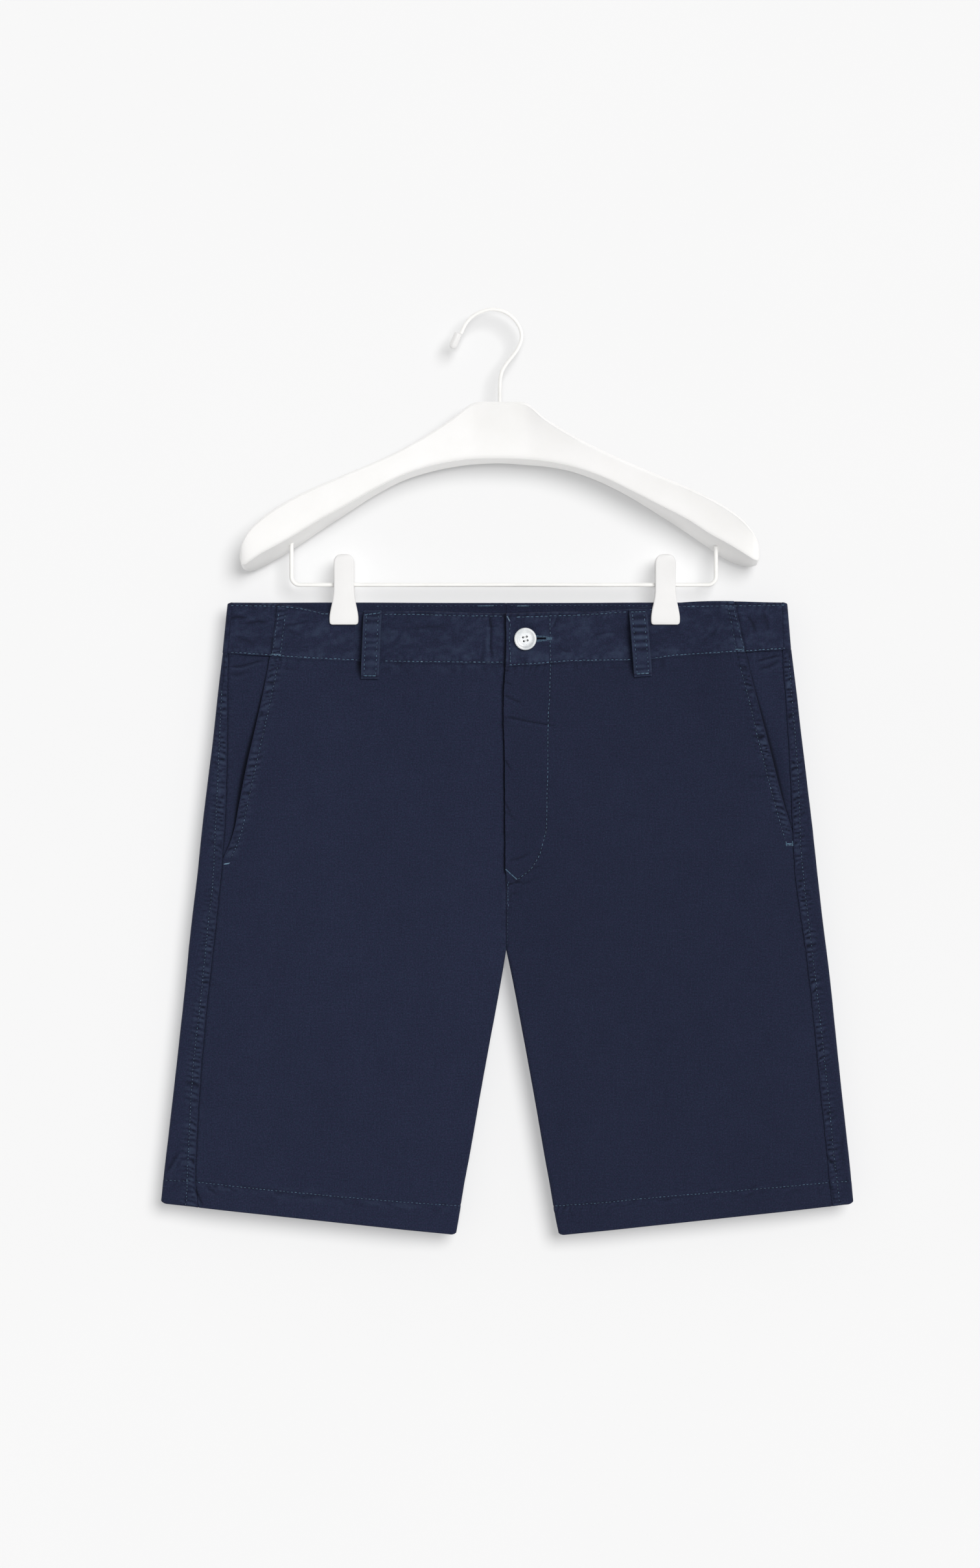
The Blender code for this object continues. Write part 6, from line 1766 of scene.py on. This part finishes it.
def button():
    x, z = BUTTON_AT
    face = float(band_point("left", np.array(x), np.array(0.5), "front", BAND_LAP)[1]) - BAND / 2 - SEAM - 0.1
    profile = (
        (4.2, 0.60), (5.6, 0.62), (6.3, 0.655), (6.9, 0.76), (7.35, 0.90), (7.7, 0.975), (8.15, 1.0), (8.6, 0.975), (8.95, 0.89),
        (9.18, 0.76), (9.3, 0.58), (9.24, 0.40), (9.0, 0.24), (8.55, 0.10), (7.9, 0.02), (7.0, 0.0),
    )
    count = 72
    angles = np.linspace(0, 2 * math.pi, count, endpoint=False)
    rings = [np.stack((x + r * np.cos(angles), np.full(count, face - h * BUTTON_T), z + r * np.sin(angles)), -1) for r, h in profile]
    verts = np.concatenate(rings)
    index = np.arange(len(rings) * count).reshape(len(rings), count)
    faces = np.stack((index[:-1], np.roll(index, -1, 1)[:-1], np.roll(index, -1, 1)[1:], index[1:]), -1).reshape(-1, 4).tolist()
    faces += [index[0].tolist(), index[-1].tolist()]
    made = build("button_face", verts, faces, PEARL)
    for k in range(4):
        a = math.radians(45.0 + BUTTON_TURN + 90.0 * k)
        at = (x + BUTTON_HOLE_AT * math.cos(a), face - BUTTON_T / 2, z + BUTTON_HOLE_AT * math.sin(a))
        bm = bmesh.new()
        bmesh.ops.create_cone(bm, cap_ends=True, segments=24, radius1=BUTTON_HOLE_R * MM, radius2=BUTTON_HOLE_R * MM, depth=9.0 * MM)
        cutter_mesh = bpy.data.meshes.new("hole_cutter")
        bm.to_mesh(cutter_mesh)
        bm.free()
        cutter = bpy.data.objects.new("hole_cutter", cutter_mesh)
        cutter.rotation_euler = (math.pi / 2, 0, 0)
        cutter.location = Vector(at) * MM
        scene.collection.objects.link(cutter)
        bpy.context.view_layer.update()
        cut = made.modifiers.new("hole", "BOOLEAN")
        cut.operation, cut.solver, cut.object = "DIFFERENCE", "EXACT", cutter
        solid = bpy.data.meshes.new_from_object(made.evaluated_get(bpy.context.evaluated_depsgraph_get()))
        made.modifiers.clear()
        old = made.data
        made.data = solid
        bpy.data.meshes.remove(old)
        bpy.data.objects.remove(cutter, do_unlink=True)
    made.data.shade_smooth()
    made.data.set_sharp_from_angle(angle=math.radians(28.0))
    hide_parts("button")
    # thread between the holes, and the shank under the button
    top = face - 0.62 * BUTTON_T
    threads = []
    for pair in ((0, 1), (3, 2)):
        ends = []
        for k in pair:
            a = math.radians(45.0 + BUTTON_TURN + 90.0 * k)
            ends.append(np.array((x + BUTTON_HOLE_AT * math.cos(a), 0.0, z + BUTTON_HOLE_AT * math.sin(a))))
        way = (ends[1] - ends[0]) / np.linalg.norm(ends[1] - ends[0])
        side = np.array((-way[2], 0.0, way[0]))
        for off in (-0.2, 0.2):
            path = []
            for t in np.linspace(-0.06, 1.06, 15):
                spot = ends[0] + (ends[1] - ends[0]) * t + side * off * (1.0 if 0.1 < t < 0.9 else 0.6)
                dip = 1.0 - smooth(min(t + 0.02, 1.02 - t) / 0.2)
                path.append((spot[0], top - 0.12 - 0.06 * math.sin(math.pi * min(max(t, 0), 1)) + 1.7 * float(dip), spot[2]))
            threads.append(tube("button_thread_part", path, 0.14, 8, PEARL_THREAD))
    shank = tube("button_shank_part", [(x, face + 0.5, z), (x, face + 0.05, z), (x, face - 0.3, z), (x, face - BUTTON_T * 0.4, z)], (1.5, 1.35, 1.35, 1.2), 16, PEARL_THREAD)
    join = [shank] + threads
    bm = bmesh.new()
    for part in join:
        bm.from_mesh(part.data)
    mesh = bpy.data.meshes.new("button_thread")
    bm.to_mesh(mesh)
    bm.free()
    for part in join:
        bpy.data.objects.remove(part, do_unlink=True)
    mesh.shade_smooth()
    sewn = link("button_thread", mesh, PEARL_THREAD)
    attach(sewn, "root")
    return made


# Hanger ------------------------------------------------------------------------------------


def loft(name, rings, looks, sharp=45.0):
    rings = np.array(rings)
    count, sides = rings.shape[:2]
    index = np.arange(count * sides).reshape(count, sides)
    faces = np.stack((index[:-1], np.roll(index, -1, 1)[:-1], np.roll(index, -1, 1)[1:], index[1:]), -1).reshape(-1, 4).tolist()
    faces += [index[0].tolist(), index[-1].tolist()]
    return build(name, rings.reshape(-1, 3), faces, looks, sharp=sharp)


def rounded(corners, radii, steps):
    """A rounded outline through four corner arcs: (centre a, centre b, start angle)."""
    ring = []
    for (a, b, start), r in zip(corners, radii):
        for k in range(steps + 1):
            angle = math.radians(start + 90.0 * k / steps)
            ring.append((a + r * math.cos(angle), b + r * math.sin(angle)))
    return ring


def hanger_body():
    table = np.array(HANGER)
    x0, x1 = table[0, 0], table[-1, 0]
    ends = np.array((0.0, 0.3, 0.8, 1.6, 2.6, 3.8, 5.2, 7.0))
    xs = np.concatenate((x0 + ends, np.linspace(x0 + 9.0, x1 - 9.0, 150), (x1 - ends)[::-1]))
    value = lambda k: curve([(r[0], r[k]) for r in HANGER], xs)
    rings = []
    for x, top, front, back, depth in zip(xs, value(1), value(2), value(3), value(4)):
        r = min(HANGER_ROUND, (top - front) * 0.40, depth * 0.7)
        crown = min(1.1, (top - front) * 0.04)
        e = min(1.0, r)  # the lower front edge is crisper
        ring = rounded(((-depth + e, front + e, 180.0), (depth - r, back + r, 270.0), (depth - r, top - r, 0.0), (-depth + r, top - r, 90.0)), (e, r, r, r), 6)
        half = (top + front) / 2
        tall = max(top - front, 1.0) / 2
        ring = [(a - (crown * max(0.0, 1 - ((b - half) / tall) ** 2) - crown) * (1 if a < 0 else -1), b) if abs(a) > depth - r * 0.02 else (a, b) for a, b in ring]
        rings.append([(x, a, b) for a, b in ring])
    made = loft("hanger_body_moulded", rings, HANGER_WHITE, 60.0)
    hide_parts("hanger_body")
    return made


def hanger_hook():
    path = through([np.array((x, 0.0, z)) for x, z in HOOK], 5)
    path[0] = (HOOK[0][0], 0.0, HANGER[15][1] - 3.0)
    wire = tube("hanger_hook_wire", path, WIRE_R, 18, WIRE_WHITE)
    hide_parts("hanger_hook")
    (x0, z0), (x1, z1), r = TIP
    axis = np.array((x1 - x0, 0.0, z1 - z0))
    length = np.linalg.norm(axis)
    along = axis / length
    across = np.array((-along[2], 0.0, along[0]))
    rows = [(0.0, r - 0.9), (0.08, r - 0.55), (0.25, r - 0.25), (0.55, r - 0.06), (1.0, r), (length * 0.5, r), (length, r)]
    rows += [(length + r * math.sin(t), r * math.cos(t)) for t in np.radians((15, 30, 45, 58, 70, 80, 86))]
    angles = np.linspace(0, 2 * math.pi, 28, endpoint=False)
    rings = [np.array((x0, 0.0, z0)) + along * d + across * (w * np.cos(angles))[:, None] + np.array((0, 1, 0)) * (w * 0.72 * np.sin(angles))[:, None] for d, w in rows]
    tip = loft("hook_tip_cap", rings, CLIP_WHITE, 50.0)
    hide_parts("hook_tip")


def trouser_bar():
    right, left = BAR_X
    path = [np.array((right, 0.0, BAR_TOP_Z[0])), np.array((right, 0.0, (BAR_TOP_Z[0] + BAR_Z) / 2))]
    for cx, start in ((right + BAR_BEND, 180.0), (left - BAR_BEND, 270.0)):
        for k in range(13):
            a = math.radians(start + 7.5 * k)
            path.append(np.array((cx + BAR_BEND * math.cos(a), 0.0, BAR_Z + BAR_BEND + BAR_BEND * math.sin(a))))
    path += [np.array((left, 0.0, (BAR_TOP_Z[1] + BAR_Z) / 2)), np.array((left, 0.0, BAR_TOP_Z[1]))]
    made = tube("trouser_bar_wire", path, BAR_R, 18, WIRE_WHITE)
    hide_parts("trouser_bar")


def clip(side, x):
    table = np.array(CLIP_JAW)
    s = np.concatenate((np.linspace(0, 4, 22)[:-1], np.linspace(4, 10, 26)[:-1], np.linspace(10, 13, 18)))
    keys = np.arange(len(table))
    rows = [np.array([float(curve(list(zip(keys, table[:, k])), q)) for q in s]) for k in range(4)]
    for face, way in (("front", 1.0), ("back", -1.0)):
        rings = []
        for z, half, y, thick in zip(*rows):
            r = min(1.1, thick * 0.48, half * 0.48)
            ring = rounded(((-half + r, -thick / 2 + r, 180.0), (half - r, -thick / 2 + r, 270.0), (half - r, thick / 2 - r, 0.0), (-half + r, thick / 2 - r, 90.0)), (r, r, r, r), 6)
            rings.append([(x + a, way * (y + b), z) for a, b in ring])
        made = loft("clip_%s_%s_jaw_moulded" % (side, face), rings, CLIP_WHITE, 55.0)
        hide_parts("clip_%s_%s_jaw" % (side, face))
    # the coil spring round the bar
    turns, wire = 8, 0.55
    angle = np.linspace(0, 2 * math.pi * turns, turns * 22 + 1)
    path = np.stack((x + np.linspace(-BARREL_HALF + wire, BARREL_HALF - wire, len(angle)), (BARREL_R - wire) * np.cos(angle), BAR_Z + (BARREL_R - wire) * np.sin(angle)), -1)
    spring = tube("clip_%s_spring" % side, path, wire, 8, STEEL)
    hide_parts("clip_%s_barrel" % side)


# Put it all together ---------------------------------------------------------------------------

sheets = {}
for side in SIDES:
    sheets["front_panel_" + side] = front_panel(side)
    sheets["back_panel_" + side] = back_panel(side)
    sheets["pocket_facing_" + side] = pocket_facing(side)
sheets["fly_underlap"] = fly_underlap()
sheets.update(waistband())
for name in LOOPS:
    sheets[name] = belt_loop(name)
stitching = [front_stitches(), back_stitches(), inner_back_stitches(), loop_stitches()]
button()
hanger_body()
hanger_hook()
trouser_bar()
clip("right", CLIP_X[0])
clip("left", CLIP_X[1])

# Each cloth piece is attached to the root body
for node, (piece, area) in sheets.items():
    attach(piece, "root")
    side = "right" if node.endswith("right") else "left"
    if node.startswith("belt_loop"):
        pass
    else:
        if node.startswith(("front_panel", "fly")):
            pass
        elif node.startswith("back_panel"):
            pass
        elif node.startswith("pocket"):
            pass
        else:
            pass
for item in bpy.data.objects:
    if item.name.endswith(("_moulded", "_wire", "_cap", "_spring", "button_face")):
        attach(item, "root")
SLOTS = (("hanger_body", "hanger_paint"), ("hanger_hook", "hook_paint"), ("trouser_bar", "hook_paint"), ("hook_tip", "clip_plastic"), ("_spring", "spring_steel"), ("clip_", "clip_plastic"), ("button_face", "button"))
for item in bpy.data.objects:
    if item.name.endswith(("_moulded", "_wire", "_cap", "_spring", "button_face")):
        for key, slot in SLOTS:
            if key in item.name:
                break

# Room and light ------------------------------------------------------------------------------------


def plain(name, colour, glow, see_through):
    m = Nodes(name)
    place = m.add("NewGeometry").outputs["Position"]
    mottle = m.noise(place, 3.0, 3.0, 0.5)
    low, high = srgb(colour), tuple(min(1.0, c * 1.012) for c in srgb(colour))
    m.finish(Base_Color=m.ramp(mottle, ((0.3, low), (0.7, high))), Roughness=0.95, Specular_IOR_Level=0.0, Emission_Color=(1.0, 1.0, 1.0, 1.0), Emission_Strength=glow)
    if see_through:
        # the wall is only there for someone in front of it
        glass = m.add("BsdfTransparent")
        both = m.add("MixShader")
        m.set(both.inputs[0], m.add("NewGeometry").outputs["Backfacing"])
        m.set(both.inputs[1], m.shader.outputs[0])
        m.set(both.inputs[2], glass.outputs[0])
        m.set(m.tree.nodes["Material Output"].inputs["Surface"], both.outputs[0])
    return m.material


def flat_sheet(name, corners, looks):
    mesh = bpy.data.meshes.new(name)
    mesh.from_pydata(corners, [], [(0, 1, 2, 3)])
    made = link(name, mesh, looks)
    return made


WALL_Y, FLOOR_Z = 0.0205, -1.30
wall = flat_sheet("wall", [(-3.0, WALL_Y, FLOOR_Z), (3.0, WALL_Y, FLOOR_Z), (3.0, WALL_Y, 2.2), (-3.0, WALL_Y, 2.2)], plain("wall_paint", "dcdcdc", 0.266, True))
wall.visible_shadow = False
floor = flat_sheet("floor", [(-4.0, -4.0, FLOOR_Z), (4.0, -4.0, FLOOR_Z), (4.0, 4.0, FLOOR_Z), (-4.0, 4.0, FLOOR_Z)], plain("floor_paint", "dedede", 0.34, False))
floor.visible_shadow = floor.visible_diffuse = False


def sun(name, direction, strength, spread, colour=(1.0, 1.0, 1.0)):
    """Even light from a direction given as (x, y, z) towards it, with a soft edge `spread` degrees wide."""
    data = bpy.data.lights.new(name, "SUN")
    data.energy, data.angle, data.color = strength, math.radians(spread), colour
    made = bpy.data.objects.new(name, data)
    made.location = Vector(direction).normalized() * 3.0 + Vector((0.0, 0.0, -0.4))
    made.rotation_euler = Vector(direction).to_track_quat("Z", "Y").to_euler()
    scene.collection.objects.link(made)
    return made


def only(name, left_out):
    """The meshes that one light is for: all but those whose name has one of `left_out` in it."""
    made = bpy.data.collections.new(name)
    for item in scene.objects:
        if item.type == "MESH" and not any(key in item.name for key in left_out):
            made.objects.link(item)
    return made


# the wall is lit by the lamps alone, without a glow round the pale hanger
for item in scene.objects:
    if item.type == "MESH" and "hanger" in item.name:
        item.visible_diffuse = False
sun("key", (0.37, -1.0, 0.37), 2.13, 34.0)
sun("front", (-0.05, -1.0, 0.0), 0.37, 10.0)
sun("side_right", (-1.0, 0.06, 0.35), 0.60, 30.0)
sun("side_left", (1.0, 0.06, 0.35), 0.45, 30.0)
# what a pale floor throws up at the object
sun("low", (0.08, -0.45, -1.0), 0.98, 40.0).light_linking.receiver_collection = only("object_parts", ("wall", "floor"))
# the light from behind is for the cloth: the pale hanger would throw it back on the wall
sun("back", (-0.55, 1.0, 0.55), 1.75, 24.0).light_linking.receiver_collection = only("cloth_parts", ("wall", "floor", "hanger", "hook", "bar_wire", "clip_"))
world = bpy.data.worlds.new("world")
world.use_nodes = True
background = world.node_tree.nodes["Background"]
background.inputs["Color"].default_value = (1.0, 1.0, 1.0, 1.0)
background.inputs["Strength"].default_value = 0.21
# beyond the wall the room is as pale as the wall itself
seen = world.node_tree.nodes.new("ShaderNodeBackground")
seen.inputs["Color"].default_value = (0.90, 0.90, 0.90, 1.0)
path = world.node_tree.nodes.new("ShaderNodeLightPath")
either = world.node_tree.nodes.new("ShaderNodeMixShader")
world.node_tree.links.new(path.outputs["Is Camera Ray"], either.inputs[0])
world.node_tree.links.new(background.outputs[0], either.inputs[1])
world.node_tree.links.new(seen.outputs[0], either.inputs[2])
world.node_tree.links.new(either.outputs[0], world.node_tree.nodes["World Output"].inputs["Surface"])
scene.world = world
scene.view_settings.view_transform = "Standard"
scene.view_settings.look = "None"
